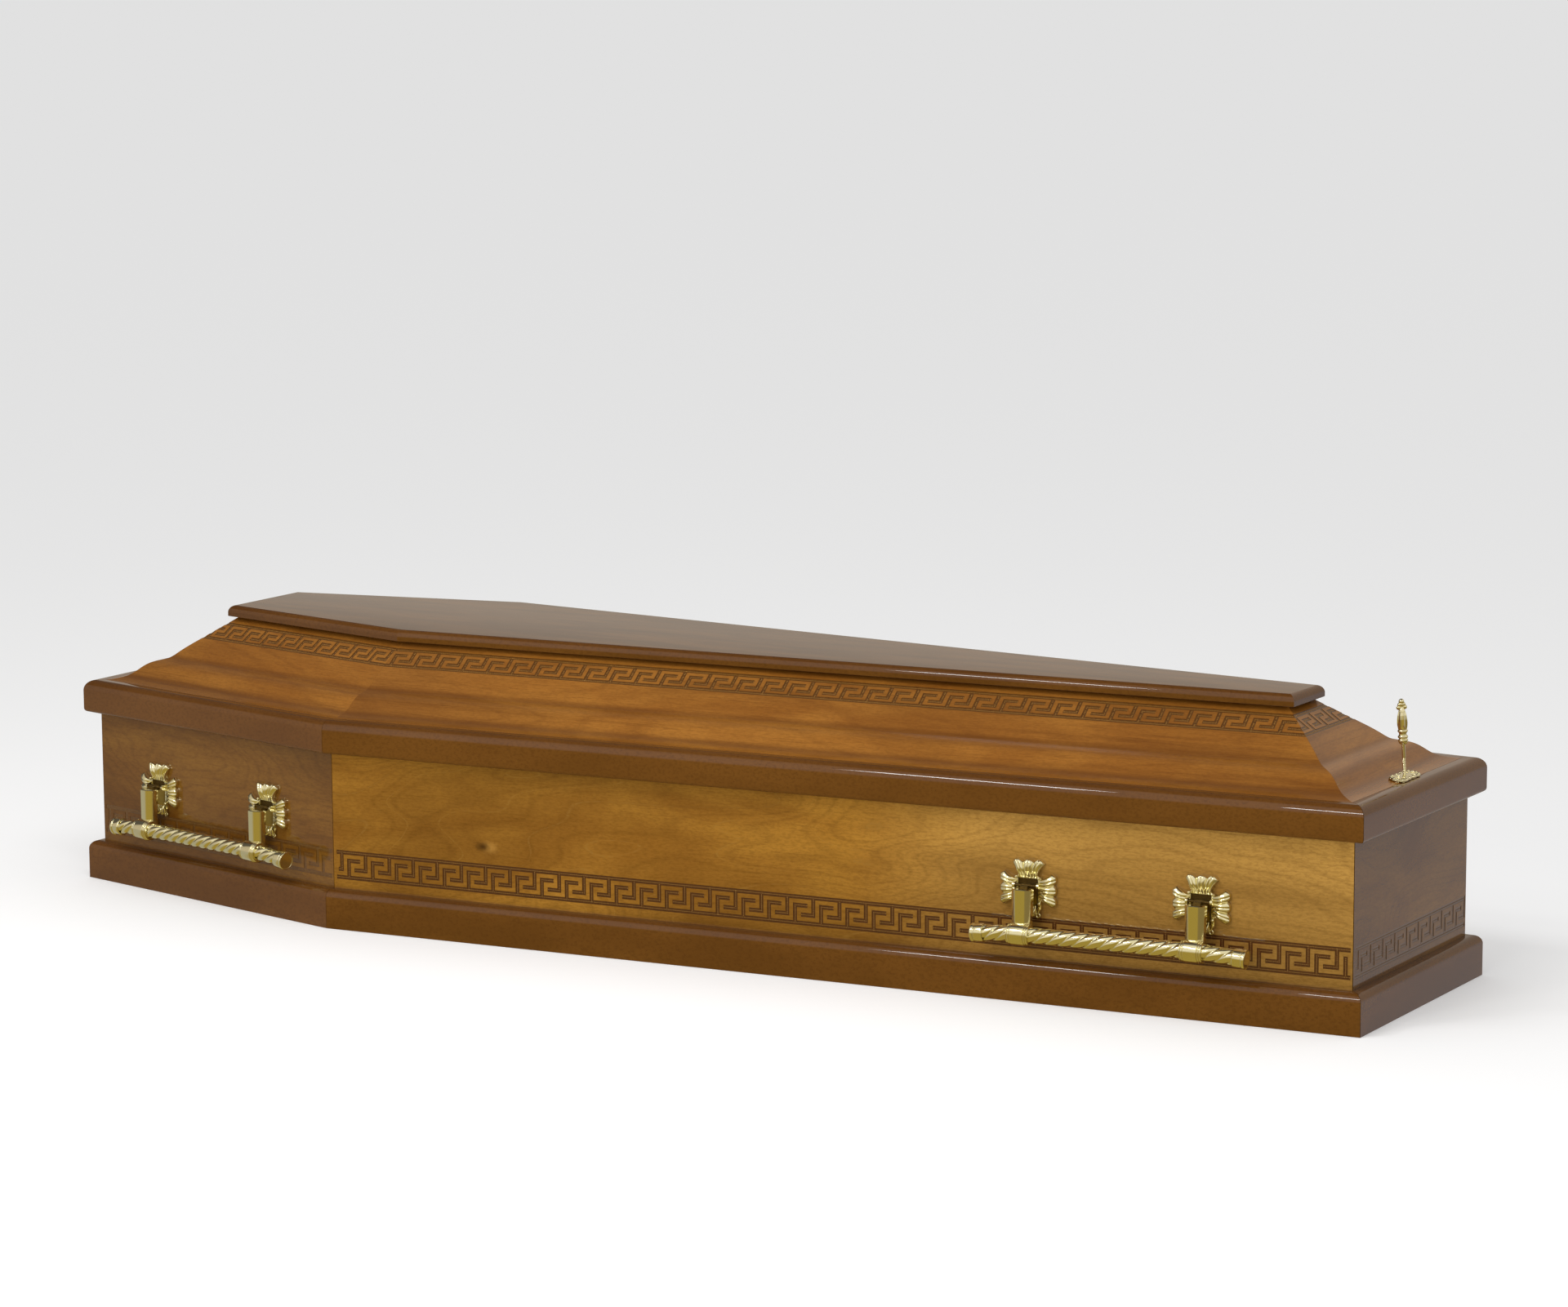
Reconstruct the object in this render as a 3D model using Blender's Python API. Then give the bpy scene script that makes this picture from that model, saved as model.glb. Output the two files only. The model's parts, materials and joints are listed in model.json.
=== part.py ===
"""Six-sided wooden coffin with a moulded lid, four drop handles and one lid screw.

Metres, +Z up. The origin is the middle of the underside: X runs along the length with the foot end
at +X, and the left side, seen from the foot end, is at -Y.
"""
import math

import bmesh
import bpy
from mathutils import Matrix, Vector

MM = 0.001
GAP = 0.0003

# Plan of the box, outer faces of the walls
X_HEAD = -1.000
X_SHOULDER = -0.500
X_FOOT = 1.000
HALF_HEAD = 0.2025
HALF_SHOULDER = 0.3100
HALF_FOOT = 0.1845

# Boards and mouldings
WALL = 0.020
FLOOR = 0.018
WALL_TOP = 0.2487
PLINTH_OUT = 0.0185
PLINTH_FLAT = 0.043
PLINTH_ROUND = 0.012
RIM_OUT = 0.0195
RIM_BOTTOM = 0.249
RIM_CREST = 0.296
RIM_ROUND = 0.0175
RIM_LEDGE = 0.282
LEDGE_IN = 0.007
SLOPE_SEAT_IN = 0.045
SLOPE_TOP = 0.3857
SLOPE_PITCH = 0.703
SLOPE_THICK = 0.0316
BOARD_BOTTOM = 0.386
BOARD_TOP = 0.402
BOARD_IN = 0.1475
BOARD_ROUND = 0.0105

# Pressed border lines of the key-pattern band: centre heights on the walls, insets on the lid
LINE_WIDTH = 0.005
LINE_DEPTH = 0.0008
WALL_LINES = (0.0713, 0.1069)
LID_LINES = (0.1193, 0.1465)

# Lid screw at the foot end
SCREW_X = 0.986
SCREW_Y = 0.004
SCREW_LEAN = math.radians(3.5)
SCREW_TIP = 0.216
ROSETTE_TILT = math.atan(3.5 / 24)
ROSETTE_SEAT = 0.29835
ROSETTE_THICK = 0.0022

# Drop handles, millimetres: x along the panel, out from its face, up from the hub of the cross
HUB_Z = 0.1477
HANDLE_FROM_FOOT = 0.3235
ARM_SPACING = 240.0
AXIS_OUT = 11.0
AXIS_UP = 6.2
POST_TOP = 4.8
BAR_OUT = 33.0
BAR_UP = -54.2
BAR_LENGTH = 380.0
BAR_MIDDLE = 3.4
DROOP = math.radians(3.9)
STRANDS = 4
LOBE_PITCH = 17.9
ROPE_TIP = 11.0
ROPE_VALLEY = 8.6
SEAT_RADIUS = 10.4
TENON_RADIUS = 10.0
BORE_RADIUS = 10.8
CAP_LENGTH = 17.5
CAP_FLOOR = 5.0
COLLAR = ((14.0, 0.0), (14.0, 5.2), (15.2, 5.8), (15.2, 24.6), (13.9, 30.6))
COLLAR_LEFT = 15.1
CROSS_EDGE = 7.5
CROSS_RIDGE = 9.6
CROSS_FLUTE = 7.6
PIN_RADIUS = 2.5
PIN_REACH = 17.6
RECESS_HALF = 15.5
RECESS_FLOOR = 1.3


def clear_scene():
    for thing in list(bpy.data.objects):
        bpy.data.objects.remove(thing)


def make_material(name, rgb, metallic, roughness):
    made = bpy.data.materials.new(name)
    made.use_nodes = True
    shader = made.node_tree.nodes["Principled BSDF"]
    shader.inputs["Base Color"].default_value = (*rgb, 1.0)
    shader.inputs["Metallic"].default_value = metallic
    shader.inputs["Roughness"].default_value = roughness
    return made


def finish_mesh(name, bm):
    """Close off a bmesh as mesh data with its faces turned outward."""
    bmesh.ops.recalc_face_normals(bm, faces=bm.faces)
    mesh = bpy.data.meshes.new(name)
    bm.to_mesh(mesh)
    bm.free()
    return mesh


def add_object(name, mesh, material=None, matrix=None, parent=None):
    made = bpy.data.objects.new(name, mesh)
    bpy.context.scene.collection.objects.link(made)
    if material:
        mesh.materials.clear()
        mesh.materials.append(material)
    if matrix:
        made.matrix_world = matrix
    if parent:
        made.parent = parent
    return made


def arc(centre_x, centre_y, radius, start, end, steps):
    """Points of an arc, degrees, both ends included."""
    points = []
    for i in range(steps + 1):
        angle = math.radians(start + (end - start) * i / steps)
        points.append((centre_x + radius * math.cos(angle), centre_y + radius * math.sin(angle)))
    return points


# Basic shapes
def prism(name, outline, low, high):
    """An outline in plan, extruded from one height to another."""
    bm = bmesh.new()
    base = bm.faces.new([bm.verts.new((x, y, low)) for x, y in outline])
    top = bmesh.ops.extrude_face_region(bm, geom=[base])["geom"]
    risen = [v for v in top if isinstance(v, bmesh.types.BMVert)]
    bmesh.ops.translate(bm, verts=risen, vec=(0, 0, high - low))
    return finish_mesh(name, bm)


def block(name, low, high):
    """A rectangular block between two opposite corners."""
    outline = ((low[0], low[1]), (high[0], low[1]), (high[0], high[1]), (low[0], high[1]))
    return prism(name, outline, low[2], high[2])


def turned(name, profile, segments, closed=False):
    """A profile of (radius, height) points turned about Z; a closed one makes a ring."""
    bm = bmesh.new()
    verts = [bm.verts.new((r, 0, z)) for r, z in profile]
    pairs = list(zip(verts, verts[1:]))
    if closed:
        pairs.append((verts[-1], verts[0]))
    edges = [bm.edges.new(pair) for pair in pairs]
    bmesh.ops.spin(bm, geom=verts + edges, cent=(0, 0, 0), axis=(0, 0, 1), steps=segments,
                   angle=2 * math.pi, use_merge=True)
    bmesh.ops.remove_doubles(bm, verts=bm.verts, dist=1e-6)
    return finish_mesh(name, bm)


def loft(name, rings):
    """Skin over rings that have the same number of points, closed at both ends."""
    bm = bmesh.new()
    loops = [[bm.verts.new(point) for point in ring] for ring in rings]
    count = len(loops[0])
    for near, far in zip(loops, loops[1:]):
        for i in range(count):
            j = (i + 1) % count
            bm.faces.new((near[i], near[j], far[j], far[i]))
    bm.faces.new(list(reversed(loops[0])))
    bm.faces.new(loops[-1])
    return finish_mesh(name, bm)


def fused(name, body, joined=(), removed=()):
    """One mesh out of a body with other shapes joined to it and others cut from it."""
    for tools, operation in ((joined, "UNION"), (removed, "DIFFERENCE")):
        for tool in tools:
            step = body.modifiers.new(tool.name, "BOOLEAN")
            step.solver = "EXACT"
            step.operation = operation
            step.object = tool
    bpy.context.view_layer.update()
    graph = bpy.context.evaluated_depsgraph_get()
    mesh = bpy.data.meshes.new_from_object(body.evaluated_get(graph))
    mesh.name = name
    for thing in (body, *joined, *removed):
        bpy.data.objects.remove(thing)
    return mesh


# The plan and its six sides
SIDES = ("shoulder_left", "side_left", "foot", "side_right", "shoulder_right", "head")


def plan(offset=0.0):
    """The six corners, anticlockwise from above, with every side moved outward by offset."""
    half = [(X_HEAD, -HALF_HEAD), (X_SHOULDER, -HALF_SHOULDER), (X_FOOT, -HALF_FOOT)]
    corners = [Vector(point) for point in half + [(x, -y) for x, y in reversed(half)]]
    moved = []
    for i, here in enumerate(corners):
        before = (here - corners[i - 1]).normalized()
        after = (corners[(i + 1) % 6] - here).normalized()
        out = Vector((before.y + after.y, -before.x - after.x))
        moved.append(here + out * (2 * offset / out.length_squared))
    return moved


def side_line(side):
    """Start corner, direction and length of one side at the outer face of the walls."""
    corners = plan()
    i = SIDES.index(side)
    run = corners[(i + 1) % 6] - corners[i]
    return corners[i], run.normalized(), run.length


def side_matrix(side, along, height):
    """Frame on the outer face of a wall: X along it, -Y outward, Z up."""
    start, way, _ = side_line(side)
    spot = start + way * along
    turn = Matrix.Rotation(math.atan2(way.y, way.x), 4, "Z")
    return Matrix.Translation((spot.x, spot.y, height)) @ turn


def moulding(name, side, section, material):
    """A length along one side: its section (outward, up) run past both ends, then both mitres sawn."""
    start, way, length = side_line(side)
    i = SIDES.index(side)
    neighbours = (side_line(SIDES[i - 1])[1], side_line(SIDES[(i + 1) % 6])[1])
    reach = 0.3
    bm = bmesh.new()
    face = bm.faces.new([bm.verts.new((-reach, -out, up)) for out, up in section])
    swept = bmesh.ops.extrude_face_region(bm, geom=[face])["geom"]
    moved = [v for v in swept if isinstance(v, bmesh.types.BMVert)]
    bmesh.ops.translate(bm, verts=moved, vec=(length + 2 * reach, 0, 0))
    bmesh.ops.recalc_face_normals(bm, faces=bm.faces)
    for place, neighbour, sign in ((0.0, neighbours[0], -1), (length, neighbours[1], 1)):
        across = (way + neighbour).normalized()
        turned_in = Vector((across.dot(way), across.dot(Vector((-way.y, way.x))), 0)) * sign
        point = Vector((place, 0, 0)) - turned_in * GAP / 2
        everything = bm.verts[:] + bm.edges[:] + bm.faces[:]
        cut = bmesh.ops.bisect_plane(bm, geom=everything, dist=1e-7, plane_co=point,
                                     plane_no=turned_in, clear_outer=True)["geom_cut"]
        rim = [e for e in cut if isinstance(e, bmesh.types.BMEdge)]
        bmesh.ops.edgeloop_fill(bm, edges=rim)
    bmesh.ops.dissolve_limit(bm, angle_limit=1e-4, verts=bm.verts, edges=bm.edges)
    return add_object(name, finish_mesh(name, bm), material, side_matrix(side, 0.0, 0.0))


# Sections of the boards and mouldings, (outward, up)
def wall_section():
    """A plain board with the two border lines of the key pattern pressed into its face."""
    points = [(0.0, 0.0)]
    for centre in WALL_LINES:
        low = centre - LINE_WIDTH / 2
        high = centre + LINE_WIDTH / 2
        points += [(0.0, low), (-LINE_DEPTH, low), (-LINE_DEPTH, high), (0.0, high)]
    return points + [(0.0, WALL_TOP), (-WALL, WALL_TOP), (-WALL, 0.0)]


def plinth_section():
    """Base moulding: upright face, quarter round, narrow ledge against the wall."""
    nose = arc(PLINTH_OUT - PLINTH_ROUND, PLINTH_FLAT, PLINTH_ROUND, 0, 90, 3)
    top = PLINTH_FLAT + PLINTH_ROUND
    return [(GAP, 0.0), (PLINTH_OUT, 0.0), *nose, (GAP, top)]


def rim_section():
    """Lid frame: rounded outer edge, rebated inside for the sloping boards."""
    under = arc(RIM_OUT - 0.003, RIM_BOTTOM + 0.003, 0.003, -90, 0, 1)
    crown = arc(RIM_OUT - RIM_ROUND, RIM_CREST - RIM_ROUND, RIM_ROUND, 0, 90, 4)
    inner = [(-LEDGE_IN, RIM_CREST - 0.0004), (-LEDGE_IN, RIM_LEDGE), (-WALL, RIM_LEDGE)]
    return [(-WALL, RIM_BOTTOM), *under, *crown, *inner]


def slope_height(inset):
    """Height of the moulded lid face at a distance in from the outer face of the walls."""
    knots = ((7.0, 295.7, 0.10), (28.0, 300.0, 0.30), (45.0, 311.0, 0.90), (60.0, 320.7, 0.35),
             (78.0, 325.8, 0.28), (92.0, 335.8, 0.80), (105.0, 345.7, SLOPE_PITCH))
    place = inset / MM
    last_in, last_up, _ = knots[-1]
    if place >= last_in:
        return (last_up + SLOPE_PITCH * (place - last_in)) * MM
    for (x0, z0, m0), (x1, z1, m1) in zip(knots, knots[1:]):
        if place <= x1:
            break
    run = x1 - x0
    t = (place - x0) / run
    rise = z0 * (2 * t**3 - 3 * t**2 + 1) + z1 * (3 * t**2 - 2 * t**3)
    bend = run * (m0 * (t**3 - 2 * t**2 + t) + m1 * (t**3 - t**2))
    return (rise + bend) * MM


def slope_section():
    """Ogee board: two swept steps, then a straight slope with the pressed border lines."""
    seat = RIM_LEDGE + GAP
    ledge = LEDGE_IN + GAP
    face = [(-ledge, seat)]
    for inset in (ledge, 0.020, 0.031, 0.038, 0.046, 0.054, 0.062, 0.078, 0.086, 0.094, 0.104):
        face.append((-inset, slope_height(inset)))
    lean = math.atan(SLOPE_PITCH)
    half = LINE_WIDTH / 2 * math.cos(lean)
    for centre in LID_LINES:
        for edge, depth in ((-half, 0), (-half, LINE_DEPTH), (half, LINE_DEPTH), (half, 0)):
            inset = centre + edge
            x = -inset - depth * math.sin(lean)
            face.append((x, slope_height(inset) - depth * math.cos(lean)))
    high = 0.105 + (SLOPE_TOP - slope_height(0.105)) / SLOPE_PITCH
    return face + [(-high, SLOPE_TOP), (-high - SLOPE_THICK, SLOPE_TOP), (-SLOPE_SEAT_IN, seat)]


def top_board(material):
    """Flat six-sided board with a rounded upper edge."""
    mesh = prism("lid_top_board", plan(-BOARD_IN), BOARD_BOTTOM, BOARD_TOP)
    bm = bmesh.new()
    bm.from_mesh(mesh)
    edges = [e for e in bm.edges if min(v.co.z for v in e.verts) > BOARD_TOP - 1e-5]
    bmesh.ops.bevel(bm, geom=edges, offset=BOARD_ROUND, segments=4, profile=0.5, affect="EDGES")
    bm.to_mesh(mesh)
    bm.free()
    add_object("lid_top_board", mesh, material)


# Lid screw
def scalloped(corners, bulge, steps):
    """A closed outline whose sides each swell outward in one shallow lobe."""
    points = []
    for i, here in enumerate(corners):
        there = corners[(i + 1) % len(corners)]
        run = (there[0] - here[0], there[1] - here[1])
        size = math.hypot(*run)
        for k in range(steps):
            t = k / steps
            swell = bulge * math.sin(math.pi * t) / size
            points.append((here[0] + run[0] * t + run[1] * swell, here[1] + run[1] * t - run[0] * swell))
    return points


def rosette_mesh():
    """Pierced plate, two scalloped fans back to back along Y, millimetres inside."""
    quarter = [(9.6, 0.0), (11.4, 13.0), (11.0, 26.0), (5.6, 31.0)]
    half = quarter + [(0.0, 32.3)] + [(-x, y) for x, y in reversed(quarter)]
    cusps = half + [(-x, -y) for x, y in half[1:-1]]
    outline = [(x * MM, y * MM) for x, y in scalloped(cusps, 1.3, 2)]
    body = add_object("plate", prism("plate", outline, 0.0, ROSETTE_THICK))
    hole = ((0, -0.004), (0.0028, -0.004), (0.0028, 0.006), (0, 0.006))
    cuts = [add_object("bore", turned("bore", hole, 10))]
    slot = [(x * 1.7 * MM, y * 4.2 * MM) for x, y in arc(0, 0, 1, 0, 300, 5)]
    for across, along, turn in ((4.6, 14.5, 14), (-4.6, 14.5, -14), (0.0, 24.0, 0)):
        for way in (1, -1):
            spot = Matrix.Translation((across * way * MM, along * way * MM, 0))
            matrix = spot @ Matrix.Rotation(math.radians(-turn), 4, "Z")
            cuts.append(add_object("slot", prism("slot", slot, -0.004, 0.006), None, matrix))
    return fused("screw_rosette", body, removed=cuts)


def screw_mesh():
    """Threaded shank, cup, rings, swelling grip and trefoil finial; height 0 is at the rosette."""
    foot = SCREW_TIP - 0.300
    shank = [(0, foot), (2.35, foot + 0.005), (2.35, 0.041)]
    cup = [(4.2, 0.041), (6.2, 0.0445), (6.2, 0.0478)]
    beads = [(5.0, 0.0488), (6.7, 0.0512), (5.2, 0.0540), (5.0, 0.0566), (6.9, 0.0590), (5.6, 0.0605)]
    grip = [(7.0, 0.0660), (7.2, 0.0710), (6.4, 0.0790), (4.4, 0.0850), (2.8, 0.0880)]
    neck = [(2.6, 0.0940), (0, 0.0950)]
    profile = [(r * MM, z) for r, z in shank + cup + beads + grip + neck]
    body = add_object("stem", turned("stem", profile, 8))
    lobes = []
    for out, up, size in ((0.0, 0.0966, 4.2), (-4.5, 0.0893, 3.3), (4.5, 0.0893, 3.3)):
        bm = bmesh.new()
        spot = Matrix.Translation((out * 0.6 * MM, out * 0.8 * MM, up))
        bmesh.ops.create_uvsphere(bm, u_segments=6, v_segments=4, radius=size * MM, matrix=spot)
        lobes.append(add_object("lobe", finish_mesh("lobe", bm)))
    return fused("coffin_screw", body, joined=lobes)


def screw_matrix():
    """The screw stands a little off plumb, leaning to the head end and the left."""
    axis = Vector((0.513, -0.858, 0.0))
    return Matrix.Translation((SCREW_X, SCREW_Y, 0.300)) @ Matrix.Rotation(SCREW_LEAN, 4, axis)


def bore_for_screw(piece):
    """Drill the leaning screw hole through one piece of wood."""
    profile = ((0, -0.0865), (0.0028, -0.0865), (0.0028, 0.02), (0, 0.02))
    drill = add_object("drill", turned("drill", profile, 10), None, screw_matrix())
    material = piece.data.materials[0]
    name = piece.name
    spot = piece.matrix_world.copy()
    mesh = fused(name, piece, removed=[drill])
    add_object(name, mesh, material, spot)


# Drop handles, built in millimetres about the hub of one cross, then scaled
def scaled(mesh):
    mesh.transform(Matrix.Scale(MM, 4))
    return mesh


def cross_outline():
    """Cross with four flared arms, each ending in three lobes: tip, lobe, half width, waist."""
    level = (39.0, 39.8, 19.2, 15.0)
    arms = ((37.4, 38.6, 20.2, 15.0), level, (35.0, 36.2, 20.0, 18.3), level)
    notches = ((-15.5, 18.5), (15.5, 18.5), (18.8, -19.0), (-18.8, -19.0))
    points = []
    for i, (tip, lobe, half, waist) in enumerate(arms):
        turn = math.radians(90 - 90 * i)
        run = ((-waist, 27.0), (-half, tip), (-7.5, tip - 1.2), (0.0, lobe), (7.5, tip - 1.2), (half, tip),
               (waist, 27.0))
        points.append(notches[i])
        for across, out in run:
            x = out * math.cos(turn) + across * math.sin(turn)
            z = out * math.sin(turn) - across * math.cos(turn)
            points.append((x, z))
    return points


def cross_mesh():
    """Fluted cross plate round a deep recess, with a cheek each side that carries the hinge pin."""
    outline = cross_outline()
    ridge = []
    for i, (x, z) in enumerate(outline):
        high = CROSS_RIDGE if i % 8 in (2, 4, 6) else CROSS_FLUTE
        ridge.append((x * 0.84, -high, z * 0.84))
    rings = [[(x, -GAP / MM, z) for x, z in outline], [(x, -CROSS_EDGE, z) for x, z in outline], ridge]
    body = add_object("petals", loft("petals", rings))
    cheeks = add_object("cheeks", block("cheeks", (-18.8, -14.8, 0.6), (18.8, -5.0, 11.8)))
    low, high = (-RECESS_HALF, -20.0, -25.0), (RECESS_HALF, -RECESS_FLOOR, 13.0)
    recess = add_object("recess", block("recess", low, high))
    lay = Matrix.Translation((0, -AXIS_OUT, AXIS_UP)) @ Matrix.Rotation(math.pi / 2, 4, "Y")
    wide = (PIN_RADIUS + 0.07) / math.cos(math.pi / 6)
    hole = ((0, -17.9), (wide, -17.9), (wide, 17.9), (0, 17.9))
    bore = add_object("bore", turned("bore", hole, 6), None, lay)
    return scaled(fused("cross", body, joined=(cheeks,), removed=(recess, bore)))


def post_ring(half, facet, front, bevel, back, up):
    """Section of the post: flat front, two broad bevels, straight sides."""
    right = [(half, -back), (half, bevel - front), (facet, -front)]
    left = [(-x, y) for x, y in reversed(right)]
    return [(x, y, up) for x, y in right + left]


def arm_mesh():
    """Post, collar, hinge tongue and pin cast as one."""
    rings = [post_ring(11.8, 5.9, 34.0, 6.0, 21.0, -45.0), post_ring(13.7, 6.75, 34.0, 6.1, 18.0, POST_TOP)]
    body = add_object("post", loft("post", rings))
    lay = Matrix.Translation((-COLLAR_LEFT, -BAR_OUT, BAR_UP)) @ Matrix.Rotation(math.pi / 2, 4, "Y")
    shell = ((BORE_RADIUS, 0.0), *COLLAR, (BORE_RADIUS, COLLAR[-1][1]))
    collar = add_object("collar", turned("collar", shell, 12, closed=True), None, lay)
    low, high = (-5.0, -20.0, AXIS_UP - 4.5), (5.0, -AXIS_OUT + 3.5, AXIS_UP + 1.0)
    tongue = add_object("tongue", block("tongue", low, high))
    across = Matrix.Translation((0, -AXIS_OUT, AXIS_UP)) @ Matrix.Rotation(math.pi / 2, 4, "Y")
    rod = ((0, -PIN_REACH), (PIN_RADIUS, -PIN_REACH), (PIN_RADIUS, PIN_REACH), (0, PIN_REACH))
    pin = add_object("pin", turned("pin", rod, 6), None, across)
    plug = ((0, -2.0), (BORE_RADIUS, -2.0), (BORE_RADIUS, 40.0), (0, 40.0))
    bore = add_object("bore", turned("bore", plug, 12), None, lay)
    mesh = fused("arm", body, joined=(tongue, pin), removed=(bore,))
    whole = add_object("whole", mesh)
    return scaled(fused("arm", whole, joined=(collar,)))


def sag(x):
    """How far the bar's ends droop outside the collars."""
    left = -ARM_SPACING / 2 - COLLAR_LEFT
    right = left + ARM_SPACING + COLLAR[-1][1]
    return math.tan(DROOP) * max(0.0, left - x, x - right)


def bar_ring(x, back, radii):
    """One section of the bar, its strands turned by the twist less the quarter turns taken back."""
    points = []
    for i in range(2 * STRANDS):
        radius = radii[i % len(radii)]
        angle = (i / 2 - x / LOBE_PITCH + back) * 2 * math.pi / STRANDS
        points.append((x, radius * math.cos(angle), radius * math.sin(angle) - sag(x)))
    return points


def bar_mesh():
    """Twisted bar of four strands, with plain round seats in the collars and the caps."""
    clear = 0.6
    low = BAR_MIDDLE - BAR_LENGTH / 2 + CAP_FLOOR + 2 * clear
    high = BAR_MIDDLE + BAR_LENGTH / 2 - CAP_FLOOR - 2 * clear
    mouth = CAP_LENGTH - CAP_FLOOR + clear
    left = -ARM_SPACING / 2 - COLLAR_LEFT
    right = left + ARM_SPACING
    long = COLLAR[-1][1]
    ropes = ((low + mouth, left - clear, TENON_RADIUS, SEAT_RADIUS),
             (left + long + clear, right - clear, SEAT_RADIUS, SEAT_RADIUS),
             (right + long + clear, high - mouth, SEAT_RADIUS, TENON_RADIUS))
    rings = [bar_ring(low, 0, (TENON_RADIUS,))]
    back = 0
    for start, end, before, after in ropes:
        back += round((start - rings[-1][0][0]) / LOBE_PITCH)
        rings.append(bar_ring(start - 0.4, back, (before,)))
        steps = max(2, round((end - start) / LOBE_PITCH * 7 / STRANDS))
        for k in range(steps + 1):
            rings.append(bar_ring(start + (end - start) * k / steps, back, (ROPE_TIP, ROPE_VALLEY)))
        rings.append(bar_ring(end + 0.4, back, (after,)))
    back += round((high - rings[-1][0][0]) / LOBE_PITCH)
    rings.append(bar_ring(high, back, (TENON_RADIUS,)))
    return scaled(loft("bar", rings))


def cap_mesh():
    """Cup over the end of the bar, a little wider towards its closed end."""
    profile = ((0, -CAP_FLOOR), (BORE_RADIUS, -CAP_FLOOR), (BORE_RADIUS, -CAP_LENGTH), (12.6, -CAP_LENGTH),
               (13.1, -4.2), (13.1, 0), (0, 0))
    return scaled(turned("cap", profile, 12))


def drop_handle(name, side, along, meshes, gilt):
    """Two crosses on the panel, and two arms, a bar and two caps that swing on one axis."""
    cross, arm, bar, cap = meshes
    base = side_matrix(side, along, HUB_Z)
    hinge = bpy.data.objects.new(name + "_hinge", None)
    bpy.context.scene.collection.objects.link(hinge)
    hinge.matrix_world = base @ Matrix.Translation((0, -AXIS_OUT * MM, AXIS_UP * MM))
    back = Matrix.Translation((0, AXIS_OUT * MM, -AXIS_UP * MM))
    bar_spot = back @ Matrix.Translation((0, -BAR_OUT * MM, BAR_UP * MM))
    half = BAR_LENGTH / 2
    for which, sign in (("left", -1), ("right", 1)):
        post = sign * ARM_SPACING / 2 * MM
        spot = base @ Matrix.Translation((post, 0, 0))
        add_object(f"{name}_cross_{which}", cross, gilt, spot)
        moved = back @ Matrix.Translation((post, 0, 0))
        add_object(f"{name}_arm_{which}", arm, gilt, moved, hinge)
        end_x = BAR_MIDDLE + sign * half
        end = Matrix.Translation((end_x * MM, 0, -sag(end_x) * MM))
        turn = Matrix.Rotation(sign * (math.pi / 2 + DROOP), 4, "Y")
        add_object(f"{name}_cap_{which}", cap, gilt, bar_spot @ end @ turn, hinge)
    add_object(f"{name}_bar", bar, gilt, bar_spot, hinge)


def build():
    clear_scene()
    veneer = make_material("veneer", (0.32, 0.14, 0.03), 0.0, 0.25)
    lid_wood = make_material("lid_wood", (0.36, 0.14, 0.025), 0.0, 0.25)
    dark_wood = make_material("dark_wood", (0.10, 0.045, 0.015), 0.0, 0.25)
    gilt = make_material("gilt", (0.72, 0.58, 0.27), 1.0, 0.2)

    inner = WALL + GAP
    add_object("floor_board", prism("floor_board", plan(-inner), 0.0, FLOOR), veneer)
    for side in SIDES:
        wall = moulding("wall_" + side, side, wall_section(), veneer)
        moulding("plinth_" + side, side, plinth_section(), dark_wood)
        rim = moulding("lid_rim_" + side, side, rim_section(), dark_wood)
        slope = moulding("lid_slope_" + side, side, slope_section(), lid_wood)
        if side == "foot":
            for piece in (wall, rim, slope):
                bore_for_screw(piece)
    top_board(dark_wood)

    tilt = Matrix.Rotation(ROSETTE_TILT, 4, "Y")
    seat = Matrix.Translation((SCREW_X, SCREW_Y, ROSETTE_SEAT))
    add_object("screw_rosette", rosette_mesh(), gilt, seat @ tilt)
    add_object("coffin_screw", screw_mesh(), gilt, screw_matrix())

    meshes = (cross_mesh(), arm_mesh(), bar_mesh(), cap_mesh())
    for side in ("shoulder_left", "side_left", "side_right", "shoulder_right"):
        length = side_line(side)[2]
        along = length / 2
        if side == "side_left":
            along = length - HANDLE_FROM_FOOT
        elif side == "side_right":
            along = HANDLE_FROM_FOOT
        drop_handle("handle_" + side, side, along, meshes, gilt)


build()
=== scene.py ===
"""Looks of the six-sided coffin: camera, studio, finishes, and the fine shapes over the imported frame."""
import json
import math

import bmesh
import bpy
from mathutils import Matrix, Vector


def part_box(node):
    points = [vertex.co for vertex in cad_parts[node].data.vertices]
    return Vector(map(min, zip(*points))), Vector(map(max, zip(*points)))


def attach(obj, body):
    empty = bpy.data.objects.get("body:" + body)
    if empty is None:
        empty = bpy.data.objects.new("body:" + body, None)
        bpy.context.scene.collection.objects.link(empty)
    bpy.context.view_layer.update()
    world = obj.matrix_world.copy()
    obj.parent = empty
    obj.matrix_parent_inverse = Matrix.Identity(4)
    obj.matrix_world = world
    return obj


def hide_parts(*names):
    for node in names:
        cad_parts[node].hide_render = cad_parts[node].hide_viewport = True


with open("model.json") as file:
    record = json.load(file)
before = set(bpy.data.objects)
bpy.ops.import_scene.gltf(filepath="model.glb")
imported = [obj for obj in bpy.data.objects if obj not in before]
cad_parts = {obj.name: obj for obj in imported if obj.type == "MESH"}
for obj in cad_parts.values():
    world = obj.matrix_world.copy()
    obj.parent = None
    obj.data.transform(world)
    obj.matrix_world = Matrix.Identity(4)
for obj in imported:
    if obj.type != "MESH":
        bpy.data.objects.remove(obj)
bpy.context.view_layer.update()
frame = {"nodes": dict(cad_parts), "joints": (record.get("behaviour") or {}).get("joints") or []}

MM = 0.001
HAIRLINE = 0.0001
MITRE_GAP = 0.0005

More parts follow.
